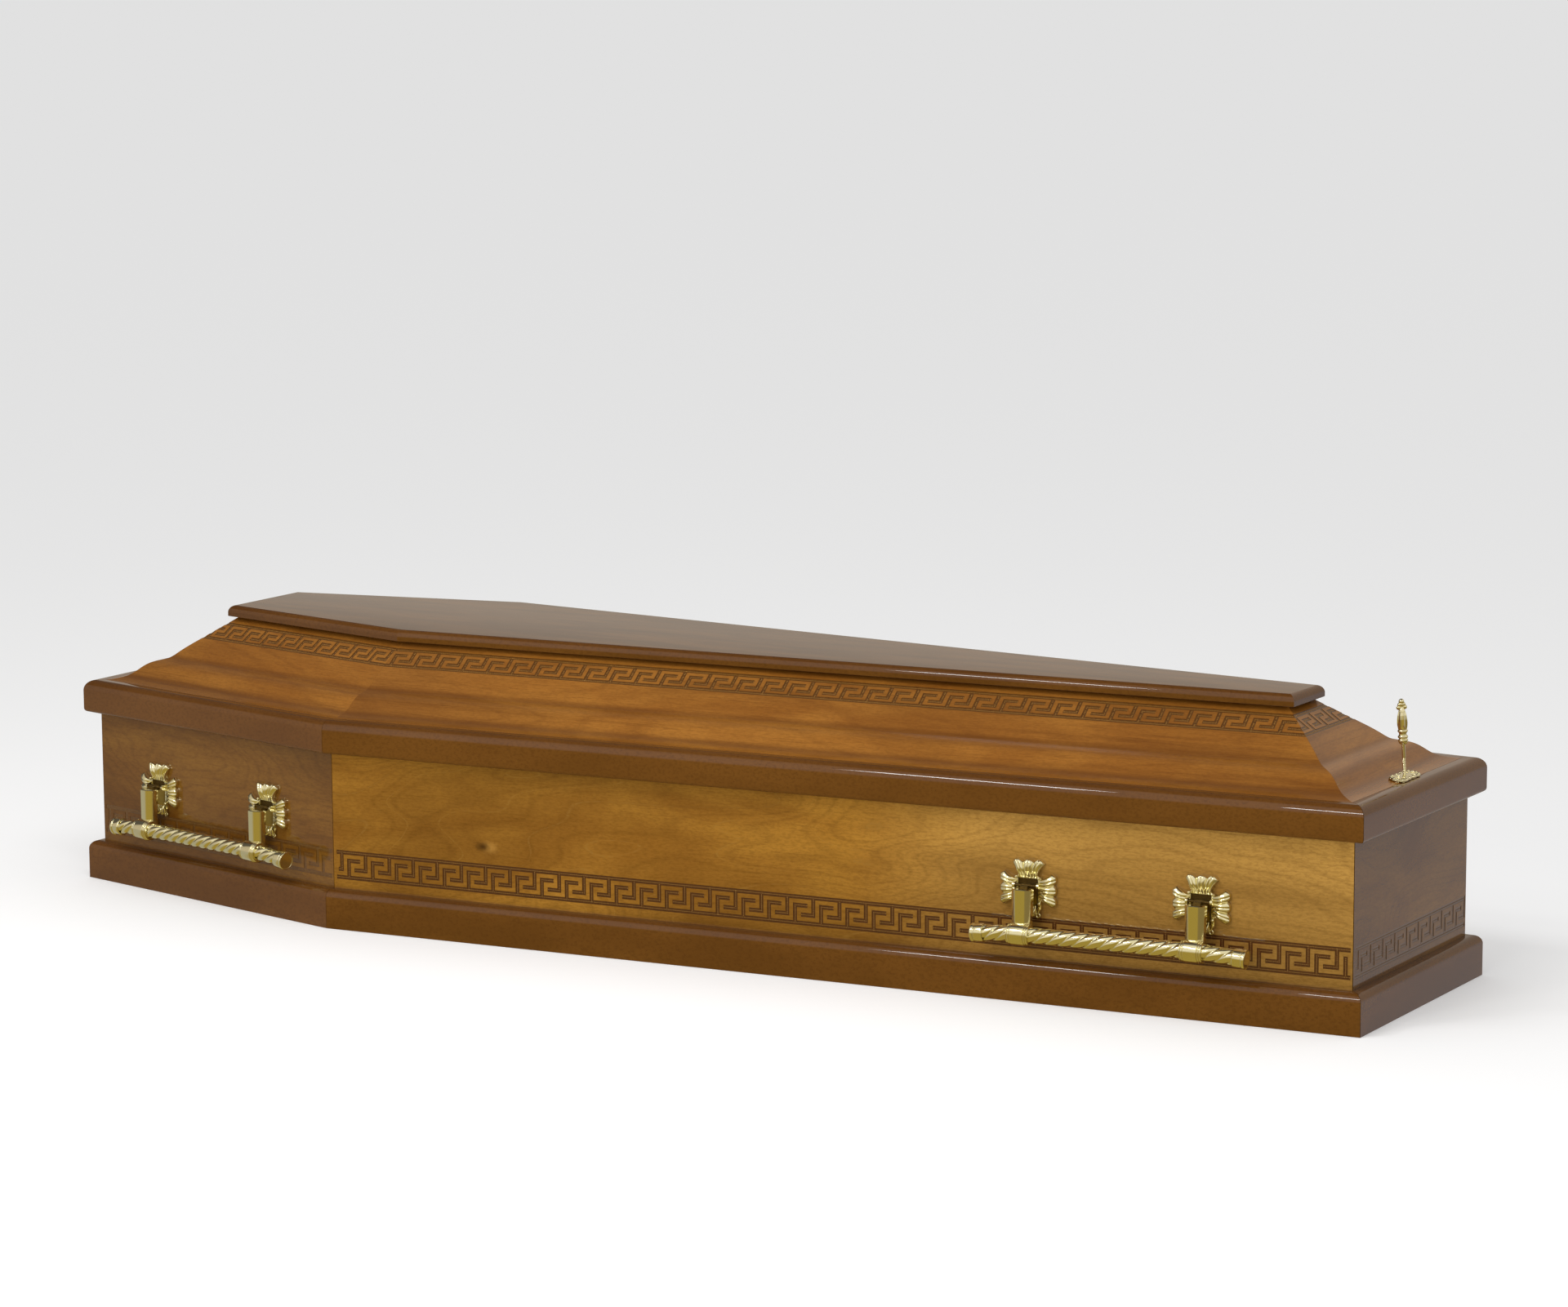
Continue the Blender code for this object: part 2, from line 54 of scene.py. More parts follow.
# Plan of the box, read from the walls
X_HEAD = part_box("wall_head")[0].x
X_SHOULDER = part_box("wall_side_left")[0].x
X_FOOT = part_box("wall_foot")[1].x
HALF_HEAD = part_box("wall_head")[1].y
HALF_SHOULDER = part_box("wall_side_right")[1].y
HALF_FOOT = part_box("wall_foot")[1].y
WALL = X_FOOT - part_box("wall_foot")[0].x
WALL_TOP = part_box("wall_foot")[1].z

# Mouldings
PLINTH_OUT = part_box("plinth_foot")[1].x - X_FOOT
PLINTH_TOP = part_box("plinth_foot")[1].z
PLINTH_ROUND = 0.012
RIM_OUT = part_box("lid_rim_foot")[1].x - X_FOOT
RIM_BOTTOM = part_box("lid_rim_foot")[0].z
RIM_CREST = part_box("lid_rim_foot")[1].z
RIM_ROUND = 0.0150
RIM_UNDER = 0.0055
RIM_LEDGE = 0.282
LEDGE_IN = 0.007
SLOPE_SEAT_IN = 0.045
SLOPE_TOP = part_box("lid_slope_foot")[1].z
SLOPE_PITCH = 0.703
SLOPE_THICK = 0.0316
BOARD_IN = X_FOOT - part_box("lid_top_board")[1].x
BOARD_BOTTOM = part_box("lid_top_board")[0].z
BOARD_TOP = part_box("lid_top_board")[1].z
BOARD_ROUND = 0.0105

# Key pattern, millimetres: rows up the wall or in from the edge of the lid, strokes along the side
LINE = 5.9
LINE_DEPTH = 0.5
BEAD_PITCH = 2.3
BEAD_RADIUS = 0.70
BEAD_HEIGHT = 0.45
LEG = 18.4
WALL_BAND = {"low": 71.3, "down_leg": 82.8, "up_leg": 95.5, "high": 106.9, "first": 13.7, "pitch": 38.68,
             "lag": 11.5}
LID_BAND = {"low": 119.5, "down_leg": 127.6, "up_leg": 137.0, "high": 146.0, "first": 15.1, "pitch": 39.2,
            "lag": 11.7}

# Drop handles, millimetres from the hub of the cross: x along the side, y inward, z up
AXIS_OUT = 11.0
AXIS_UP = 6.2
POST_HALF = 120.0
POST_TOP = 4.8
BAR_OUT = 33.0
BAR_UP = -54.2
BAR_LENGTH = 380.0
BAR_MIDDLE = 3.4
DROOP = math.radians(3.9)
STRANDS = 4
LOBE_PITCH = 17.9
ROPE_TIP = 11.0
ROPE_VALLEY = 8.2
COLLAR_LEFT = 15.1
COLLAR_LONG = 30.6
CAP_LONG = 17.5
RECESS_HALF = 15.5
SLOT_HALF = 13.9
SLOT_IN = 10.6

# Lid screw
SCREW_X = 0.986
SCREW_Y = 0.004
SCREW_LEAN = math.radians(3.5)
ROSETTE_TILT = math.atan(3.5 / 24)
ROSETTE_SEAT = 0.29835

# Camera, fitted to the photograph
CAMERA_PLACE = (3.26314, -5.36496, 1.38742)
CAMERA_TURN = -0.53897
CAMERA_DIP = 0.1585
CAMERA_ROLL = -0.00549
CAMERA_LENS = 104.39


# Materials
def linear(hex_colour, level=1.0):
    """sRGB hex to linear light, with an alpha of 1."""
    channels = []
    for i in (1, 3, 5):
        c = int(hex_colour[i:i + 2], 16) / 255
        c = c / 12.92 if c <= 0.04045 else ((c + 0.055) / 1.055) ** 2.4
        channels.append(c * level)
    return (*channels, 1.0)


def put(tree, kind, inputs=None, **settings):
    """Add a node, set its properties, and fill its inputs with values or with other nodes' outputs."""
    made = tree.nodes.new("ShaderNode" + kind)
    for key, value in settings.items():
        setattr(made, key, value)
    for key, value in (inputs or {}).items():
        if isinstance(value, bpy.types.NodeSocket):
            tree.links.new(value, made.inputs[key])
        else:
            made.inputs[key].default_value = value
    return made


def new_material(name):
    """A material with a bare Principled shader; returns it, its tree and the shader."""
    made = bpy.data.materials.new(name)
    made.use_nodes = True
    return made, made.node_tree, made.node_tree.nodes["Principled BSDF"]


def blend_colours(tree, factor, first, second, mode="MIX"):
    """The colour output of one Mix node; each of first and second is a colour or an output."""
    made = put(tree, "Mix", {0: factor}, data_type="RGBA", blend_type=mode)
    for socket, value in ((made.inputs[6], first), (made.inputs[7], second)):
        if isinstance(value, bpy.types.NodeSocket):
            tree.links.new(value, socket)
        else:
            socket.default_value = value
    return made.outputs[2]


def spread(tree, value, low, high, to_low=0.0, to_high=1.0):
    """A value stretched from one range to another and held at its ends."""
    inputs = {"Value": value, "From Min": low, "From Max": high, "To Min": to_low, "To Max": to_high}
    return put(tree, "MapRange", inputs, interpolation_type="SMOOTHSTEP").outputs["Result"]


def grain_space(tree, along, across, shift=(0.0, 0.0, 0.0)):
    """Object coordinates, X along the grain, scaled in features per metre along and across it."""
    place = put(tree, "TexCoord").outputs["Object"]
    inputs = {"Vector": place, "Location": shift, "Scale": (along, across, across)}
    return put(tree, "Mapping", inputs).outputs["Vector"]


def noise(tree, place, detail, roughness=0.5, distortion=0.0):
    """Noise at points that are already scaled to its features."""
    inputs = {"Vector": place, "Scale": 1.0, "Detail": detail, "Roughness": roughness, "Distortion": distortion}
    return put(tree, "TexNoise", inputs).outputs["Fac"]


def rings_in(tree, figure, count, width, strength):
    """Thin lines at even steps of a figure, as growth rings show on sliced veneer."""
    steps = put(tree, "Math", {0: figure, 1: count}, operation="MULTIPLY").outputs["Value"]
    folded = put(tree, "Math", {0: steps, 1: 0.5}, operation="PINGPONG").outputs["Value"]
    return spread(tree, folded, 0.0, width, strength, 0.0)


def high_gloss(shader, roughness):
    """Clear lacquer, filled and polished: a mirror-like coat with nothing of the raw surface's sheen."""
    shader.inputs["Roughness"].default_value = 0.5
    shader.inputs["Specular IOR Level"].default_value = 0.0
    shader.inputs["Coat Weight"].default_value = 1.0
    shader.inputs["Coat Roughness"].default_value = roughness
    shader.inputs["Coat IOR"].default_value = 1.46


def lacquered_veneer(name, pale, middle, dark, look, shift=0.0, knots=(), lighter=None, shaded_hollows=()):
    """Sliced veneer, stained and flow-coated with gloss lacquer. To the eye: soft clouds, growth rings in long
    loops, fine grain lines, a crumbly mottle and dark streaks, under a clear mirror-like coat, with painted shade
    darkening the hollows of a moulding."""
    made, tree, shader = new_material(name)
    move = (shift, shift, shift)
    clouds = noise(tree, grain_space(tree, 4.5, look["cloud_rows"], move), 3.0, 0.55, 0.6)
    figure = noise(tree, grain_space(tree, 1.6, look["ring_rows"], move), 2.0, 0.45, 0.25)
    lines = noise(tree, grain_space(tree, 14.0, 380.0, move), 3.0, 0.65, look["wander"])
    pores = noise(tree, grain_space(tree, 30.0, 620.0, move), 2.0, 0.6)
    mottle = noise(tree, grain_space(tree, 130.0, 400.0, move), 3.0, 0.65, 0.5)
    streaks = noise(tree, grain_space(tree, 0.9, look["streak_rows"], move), 4.0, 0.6, 0.35)

    tone = blend_colours(tree, spread(tree, clouds, 0.34, 0.66), linear(middle), linear(pale))
    if lighter:
        place = put(tree, "TexCoord").outputs["Object"]
        along = put(tree, "SeparateXYZ", {"Vector": place}).outputs["X"]
        tone = blend_colours(tree, spread(tree, along, *lighter[:2], 0.0, 0.8), tone, linear(lighter[2]))
    tone = blend_colours(tree, spread(tree, figure, 0.38, 0.62, 0.0, look["cloud"]), tone, linear(dark))
    rings = rings_in(tree, figure, look["rings"], 0.22, look["ring"])
    tone = blend_colours(tree, rings, tone, linear(dark))
    loops = rings_in(tree, figure, look["rings"] * 0.6, 0.03, look["flame"])
    broken = put(tree, "Math", {0: loops, 1: spread(tree, mottle, 0.42, 0.60)}, operation="MULTIPLY")
    tone = blend_colours(tree, broken.outputs["Value"], tone, linear(look["flame_tone"]))
    tone = blend_colours(tree, spread(tree, streaks, 0.55, 0.70, 0.0, look["streak"]), tone, linear(dark))
    tone = blend_colours(tree, spread(tree, lines, 0.50, 0.68, 0.0, look["line"]), tone, linear(dark))
    tone = blend_colours(tree, spread(tree, pores, 0.55, 0.72, 0.0, look["line"] * 0.7), tone, linear(dark))
    tone = blend_colours(tree, spread(tree, mottle, 0.42, 0.62, 0.0, look["mottle"]), tone, linear(dark))
    # Painted shade: darker bands at set heights along the hollows of the moulding, where shade falls.
    for up, reach in shaded_hollows:
        place = put(tree, "TexCoord").outputs["Object"]
        height = put(tree, "SeparateXYZ", {"Vector": place}).outputs["Z"]
        off = put(tree, "Math", {0: height, 1: up}, operation="SUBTRACT").outputs["Value"]
        away = put(tree, "Math", {0: off}, operation="ABSOLUTE").outputs["Value"]
        tone = blend_colours(tree, spread(tree, away, 0.0, reach, 0.42, 0.0), tone, linear(dark))
    for along, up, size in knots:
        tone = knot_over(tree, tone, along, up, size, dark)
    tree.links.new(tone, shader.inputs["Base Color"])
    high_gloss(shader, look["gloss"])
    return made


def knot_over(tree, tone, along, up, size, dark):
    """A small knot: a dark smudge on one side and paler wood on the other, both with ragged edges."""
    place = put(tree, "TexCoord").outputs["Object"]
    rag = noise(tree, grain_space(tree, 160.0, 220.0), 2.0)
    for shift, reach, strength, colour in ((0.9, 1.7, 0.45, "#B98A42"), (-0.6, 1.4, 0.95, "#3A1F07")):
        spot = (along + shift * size, 0.0, up)
        centred = put(tree, "VectorMath", {0: place, 1: spot}, operation="SUBTRACT").outputs["Vector"]
        flat = put(tree, "VectorMath", {0: centred, 1: (0.6, 0.0, 1.0)}, operation="MULTIPLY").outputs["Vector"]
        away = put(tree, "VectorMath", {0: flat}, operation="LENGTH").outputs["Value"]
        ragged = put(tree, "Math", {0: away, 1: put(tree, "Math", {0: rag, 1: 0.5}, operation="ADD").outputs[0]},
                     operation="MULTIPLY").outputs["Value"]
        tone = blend_colours(tree, spread(tree, ragged, 0.0, size * reach, strength, 0.0), tone, linear(colour))
    return tone


def stained_mdf(name, face, deep, speck):
    """Fine fibre board, routed, stained dark brown and flow-coated: an even brown with faint clouds,
    a fine grain of fibre and a few darker chips under a clear, mirror-like coat."""
    made, tree, shader = new_material(name)
    fibre = noise(tree, grain_space(tree, 190.0, 300.0), 3.0, 0.65)
    cloud = noise(tree, grain_space(tree, 5.0, 16.0), 3.0)
    chip = put(tree, "TexVoronoi", {"Vector": grain_space(tree, 120.0, 150.0), "Scale": 1.0}).outputs["Distance"]
    tone = blend_colours(tree, spread(tree, cloud, 0.3, 0.7, 0.0, 0.5), linear(face), linear(deep))
    tone = blend_colours(tree, spread(tree, fibre, 0.44, 0.66, 0.0, 0.42), tone, linear(deep))
    tone = blend_colours(tree, spread(tree, chip, 0.05, 0.14, 0.40, 0.0), tone, linear(speck))
    tree.links.new(tone, shader.inputs["Base Color"])
    high_gloss(shader, 0.02)
    return made


def pressed_line(name, first, second, coat):
    """Floor and flanks of the pressed pattern: veneer scorched and stained by the hot roller, with
    some of the lacquer left over it."""
    made, tree, shader = new_material(name)
    grit_at = grain_space(tree, 500.0, 500.0)
    grit = put(tree, "TexNoise", {"Vector": grit_at, "Scale": 1.0, "Detail": 2.0}).outputs["Fac"]
    tone = blend_colours(tree, spread(tree, grit, 0.3, 0.7), linear(first), linear(second))
    tree.links.new(tone, shader.inputs["Base Color"])
    shader.inputs["Roughness"].default_value = 0.5
    shader.inputs["Specular IOR Level"].default_value = 0.1
    shader.inputs["Coat Weight"].default_value = coat
    shader.inputs["Coat Roughness"].default_value = 0.06
    return made


def pressed_bead_wear_and_highlight(name, first, second):
    """Little domes left standing in the pressed lines: brown veneer that is paler than the lines all over, partly
    rubbed wear and partly painted highlight for the glints on their tops.
    """
    made, tree, shader = new_material(name)
    grit_at = grain_space(tree, 260.0, 260.0)
    grit = put(tree, "TexNoise", {"Vector": grit_at, "Scale": 1.0, "Detail": 2.0}).outputs["Fac"]
    tone = blend_colours(tree, spread(tree, grit, 0.3, 0.7), linear(first), linear(second))
    tree.links.new(tone, shader.inputs["Base Color"])
    shader.inputs["Roughness"].default_value = 0.35
    shader.inputs["Specular IOR Level"].default_value = 0.3
    return made


def pale_gilt():
    """Zinc casting plated with pale polished gold: reflections a little softened, with the faint
    unevenness that a tumbled casting keeps under its plating."""
    made, tree, shader = new_material("pale_gilt_plated_zinc")
    place = put(tree, "TexCoord").outputs["Object"]
    swirl = put(tree, "TexNoise", {"Vector": place, "Scale": 260.0, "Detail": 2.0}).outputs["Fac"]
    tint = put(tree, "TexNoise", {"Vector": place, "Scale": 60.0, "Detail": 1.0}).outputs["Fac"]
    tone = blend_colours(tree, spread(tree, tint, 0.3, 0.7), linear("#F2ECC8"), linear("#E6DDB0"))
    tree.links.new(tone, shader.inputs["Base Color"])
    rough = spread(tree, swirl, 0.3, 0.7, 0.05, 0.09)
    tree.links.new(rough, shader.inputs["Roughness"])
    bump = put(tree, "Bump", {"Strength": 0.05, "Distance": 0.0004, "Height": swirl})
    tree.links.new(bump.outputs["Normal"], shader.inputs["Normal"])
    shader.inputs["Metallic"].default_value = 1.0
    return made


def painted_shade_metal(name, first, second, metallic, roughness):
    """Painted shade for the inside of the recess in a cross and for the pin and tongue in it: dull metal, down to
    black at the sides.
    """
    made, tree, shader = new_material(name)
    place = put(tree, "TexCoord").outputs["Object"]
    grit = put(tree, "TexNoise", {"Vector": place, "Scale": 260.0, "Detail": 2.0}).outputs["Fac"]
    tone = blend_colours(tree, spread(tree, grit, 0.42, 0.62), linear(first), linear(second))
    tree.links.new(tone, shader.inputs["Base Color"])
    shader.inputs["Metallic"].default_value = metallic
    shader.inputs["Roughness"].default_value = roughness
    return made


def raw_board():
    """Inside faces: plain pale plywood, sanded and left unlacquered."""
    made, tree, shader = new_material("sanded_plywood")
    lines_at = grain_space(tree, 6.0, 160.0)
    lines = put(tree, "TexNoise", {"Vector": lines_at, "Scale": 1.0, "Detail": 4.0,
                                   "Distortion": 0.4}).outputs["Fac"]
    tone = blend_colours(tree, spread(tree, lines, 0.35, 0.7), linear("#B98F58"), linear("#96693A"))
    tree.links.new(tone, shader.inputs["Base Color"])
    shader.inputs["Roughness"].default_value = 0.6
    return made


BIRCH = {"cloud_rows": 11.0, "ring_rows": 5.5, "streak_rows": 16.0, "rings": 30.0, "wander": 0.7, "cloud": 0.48,
         "ring": 0.18, "streak": 0.20, "line": 0.18, "mottle": 0.24, "flame": 0.24, "flame_tone": "#B28A42",
         "gloss": 0.03}
LIMBA = {"cloud_rows": 14.0, "ring_rows": 9.0, "streak_rows": 30.0, "rings": 9.0, "wander": 0.3, "cloud": 0.25,
         "ring": 0.16, "streak": 0.50, "line": 0.22, "mottle": 0.20, "flame": 0.0, "flame_tone": "#B98743",
         "gloss": 0.18}
WALNUT = dict(LIMBA, cloud_rows=40.0, cloud=0.22, ring=0.25, streak=0.34, line=0.45, gloss=0.19)
WALL_KNOTS = ((0.246, 0.134, 0.007),)
DARKER_HIP = (0.30, 0.02, "#8E5C24")
# Heights and reach of the painted shade in the hollows of the lid's moulding.
LID_SHADED_HOLLOWS = ((0.3275, 0.0050), (0.3005, 0.0045))
SHIFTS = {"shoulder_left": 1.3, "side_left": 0.0, "foot": 2.1, "side_right": 3.7, "shoulder_right": 5.1, "head": 6.9}
VENEER = {}
LID_VENEER = {}
for side, shift in SHIFTS.items():
    if side.startswith("side"):
        VENEER[side] = lacquered_veneer("golden_birch_veneer_" + side, "#9A6C27", "#83571D", "#4C2B0A", BIRCH, shift,
                                        WALL_KNOTS if side == "side_left" else (), (0.78, 1.05, "#B48A45"))
    else:
        # The end and shoulder walls take the same veneer in darker colours: painted shade for the lesser light that
        # falls on them.
        VENEER[side] = lacquered_veneer("golden_birch_veneer_" + side, "#76501C", "#643F13", "#3F2209",
                                        dict(BIRCH, flame=0.06), shift)
    LID_VENEER[side] = lacquered_veneer("amber_limba_veneer_" + side, "#9E6827", "#8C581E", "#552D0B", LIMBA,
                                        shift + 10.0, (), DARKER_HIP if side == "side_left" else None, LID_SHADED_HOLLOWS)
TOP_WOOD = lacquered_veneer("walnut_stained_veneer", "#704C27", "#5A3C1E", "#38220D", WALNUT, 4.0)
DARK_WOOD = stained_mdf("dark_stained_fibreboard", "#603B14", "#472709", "#2A1405")
WALL_PRESSED = pressed_line("scorched_pressed_veneer_wall", "#3D2008", "#4F2C0D", 0.9)
END_PRESSED = pressed_line("scorched_pressed_veneer_ends", "#52330F", "#624014", 1.0)
LID_PRESSED = pressed_line("scorched_pressed_veneer_lid", "#50300E", "#654118", 0.8)
# Bead colours: rubbed wear and painted highlight together.
WALL_BEAD = pressed_bead_wear_and_highlight("worn_and_highlit_veneer_bead_wall", "#7F5A26", "#916A30")
END_BEAD = pressed_bead_wear_and_highlight("worn_and_highlit_veneer_bead_ends", "#5E4320", "#6B4D26")
LID_BEAD = pressed_bead_wear_and_highlight("worn_and_highlit_veneer_bead_lid", "#8E6427", "#A27838")
GILT = pale_gilt()
# Painted shade for the recess of each cross: near black, and a dimmer gilt for the middle of its floor.
RECESS_SHADE_DARK = painted_shade_metal("recess_painted_shade_dark", "#120D08", "#8A6C2C", 0.7, 0.5)
RECESS_SHADE_GILT = painted_shade_metal("recess_painted_shade_gilt", "#B79C52", "#8C7436", 1.0, 0.3)
RAW = raw_board()


# The plan and its six sides
SIDES = ("shoulder_left", "side_left", "foot", "side_right", "shoulder_right", "head")


def plan(offset=0.0):
    """The six corners, anticlockwise from above, with every side moved outward by offset."""
    half = [(X_HEAD, -HALF_HEAD), (X_SHOULDER, -HALF_SHOULDER), (X_FOOT, -HALF_FOOT)]
    corners = [Vector(point) for point in half + [(x, -y) for x, y in reversed(half)]]
    moved = []
    for i, here in enumerate(corners):
        before = (here - corners[i - 1]).normalized()
        after = (corners[(i + 1) % 6] - here).normalized()
        out = Vector((before.y + after.y, -before.x - after.x))
        moved.append(here + out * (2 * offset / out.length_squared))
    return moved


def side_line(side):
    """Start corner, direction and length of one side at the outer face of the walls."""
    corners = plan()
    i = SIDES.index(side)
    run = corners[(i + 1) % 6] - corners[i]
    return corners[i], run.normalized(), run.length


def side_matrix(side):
    """Frame at the start of a side: X along it, -Y outward, Z up from the underside."""
    start, way, _ = side_line(side)
    turn = Matrix.Rotation(math.atan2(way.y, way.x), 4, "Z")
    return Matrix.Translation((start.x, start.y, 0)) @ turn


def mitres(side, gap):
    """The two planes, point and outward normal, that end a side's pieces, in its own frame."""
    _, way, length = side_line(side)
    i = SIDES.index(side)
    ends = ((0.0, side_line(SIDES[i - 1])[1], -1), (length, side_line(SIDES[(i + 1) % 6])[1], 1))
    planes = []
    for place, neighbour, sign in ends:
        across = (way + neighbour).normalized()
        outward = Vector((across.dot(way), across.dot(Vector((-way.y, way.x))), 0)) * sign
        planes.append((Vector((place, 0, 0)) - outward * gap / 2, outward))
    return planes


# Making pieces
def add_piece(name, mesh, matrix, materials, body, nodes, sharp=50):
    """Put a finished mesh in the scene in place of CAD nodes, riding on their body."""
    made = bpy.data.objects.new(name, mesh)
    bpy.context.scene.collection.objects.link(made)
    made.matrix_world = matrix
    if not mesh.materials:
        for material in materials:
            mesh.materials.append(material)
    mesh.shade_smooth()
    mesh.set_sharp_from_angle(angle=math.radians(sharp))
    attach(made, body)
    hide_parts(*nodes)
    return made


def finish_mesh(name, bm):
    bmesh.ops.recalc_face_normals(bm, faces=bm.faces)
    mesh = bpy.data.meshes.new(name)
    bm.to_mesh(mesh)
    bm.free()
    return mesh


def arc(centre_x, centre_y, radius, start, end, steps):
    """Points of an arc, degrees, both ends included."""
    points = []
    for i in range(steps + 1):
        angle = math.radians(start + (end - start) * i / steps)
        points.append((centre_x + radius * math.cos(angle), centre_y + radius * math.sin(angle)))
    return points


def rounded(points, radius, steps=3):
    """An open profile with each inner corner rounded by up to that radius."""
    out = [points[0]]
    for before, here, after in zip(points, points[1:], points[2:]):
        a, b, c = Vector(before), Vector(here), Vector(after)
        reach = min(radius, (a - b).length * 0.45, (c - b).length * 0.45)
        first = b + (a - b).normalized() * reach
        last = b + (c - b).normalized() * reach
        for i in range(steps + 1):
            t = i / steps
            out.append(tuple(first.lerp(b, t).lerp(b.lerp(last, t), t)))
    return out + [points[-1]]


def turned(name, profile, segments, closed=False):
    """A profile of (radius, height) points turned about Z; a closed one makes a ring."""
    bm = bmesh.new()
    verts = [bm.verts.new((r, 0, z)) for r, z in profile]
    pairs = list(zip(verts, verts[1:]))
    if closed:
        pairs.append((verts[-1], verts[0]))
    edges = [bm.edges.new(pair) for pair in pairs]
    bmesh.ops.spin(bm, geom=verts + edges, cent=(0, 0, 0), axis=(0, 0, 1), steps=segments,
                   angle=2 * math.pi, use_merge=True)
    bmesh.ops.remove_doubles(bm, verts=bm.verts, dist=1e-6)
    return finish_mesh(name, bm)


def skin(bm, rings, ends=True):
    """Join rings of equal count into one closed skin."""
    loops = [[bm.verts.new(point) for point in ring] for ring in rings]
    count = len(loops[0])
    for near, far in zip(loops, loops[1:]):
        for i in range(count):
            j = (i + 1) % count
            bm.faces.new((near[i], near[j], far[j], far[i]))
    if ends:
        bm.faces.new(list(reversed(loops[0])))
        bm.faces.new(loops[-1])


def joined(name, meshes):
    """Several closed shells as one mesh; each entry is a mesh or a (mesh, matrix) pair."""
    bm = bmesh.new()
    for entry in meshes:
        mesh, matrix = entry if isinstance(entry, tuple) else (entry, Matrix())
        mesh.transform(matrix)
        bm.from_mesh(mesh)
        bpy.data.meshes.remove(mesh)
    return finish_mesh(name, bm)


# Boards with the pressed key pattern
def bead_template(bm, place, normal, along):
    """One low dome with six sides standing on the floor of a pressed line."""
    side = normal.cross(along)
    rings = []
    for radius, height in ((1.0, -0.1), (0.78, 0.62)):
        ring = []
        for k in range(6):
            angle = math.pi * k / 3
            spoke = (along * math.cos(angle) + side * math.sin(angle)) * (radius * BEAD_RADIUS * MM)
            ring.append(bm.verts.new(place + spoke + normal * (height * BEAD_HEIGHT * MM)))
        rings.append(ring)
    top = bm.verts.new(place + normal * (BEAD_HEIGHT * MM))
    faces = [bm.faces.new(list(reversed(rings[0])))]
    for k in range(6):
        m = (k + 1) % 6
        faces.append(bm.faces.new((rings[0][k], rings[0][m], rings[1][m], rings[1][k])))
        faces.append(bm.faces.new((rings[1][k], rings[1][m], top)))
    for face in faces:
        face.material_index = 2


def key_pattern(band, start, end):
    """Rectangles (s0, s1, t0, t1) of the pressed lines and centre lines (s0, t0, s1, t1) of the beads."""
    half = LINE / 2
    low, high, up_leg, down_leg = band["low"], band["high"], band["up_leg"], band["down_leg"]
    squeeze = band.get("squeeze", 1.0)
    thick = half * squeeze
    bars = [(start, end, low - thick, low + thick), (start, end, high - thick, high + thick)]
    rows = [(start + 1.2, low, end - 1.2, low), (start + 1.2, high, end - 1.2, high)]
    i = -2
    while band["first"] + i * band["pitch"] < end + band["pitch"]:
        down = band["first"] + i * band["pitch"]
        up = down + band["lag"]
        i += 1
        strokes = ((down, down - LEG, down_leg, high, down_leg - thick, high - thick),
                   (up, up + LEG, up_leg, low, low + thick, up_leg + thick))
        for stem, leg_end, leg_row, border, bottom, top in strokes:
            if stem - half < start or stem + half > end:
                continue
            bars.append((stem - half, stem + half, bottom, top))
            rows.append((stem, border, stem, leg_row))
            way = 1 if leg_end > stem else -1
            tip = min(max(leg_end, start + half), end - half)
            if (tip - stem) * way > half + 1:
                bars.append((min(stem, tip), max(stem, tip), leg_row - thick, leg_row + thick))
                rows.append((stem, leg_row, tip - 1.2 * way, leg_row))
    return bars, rows


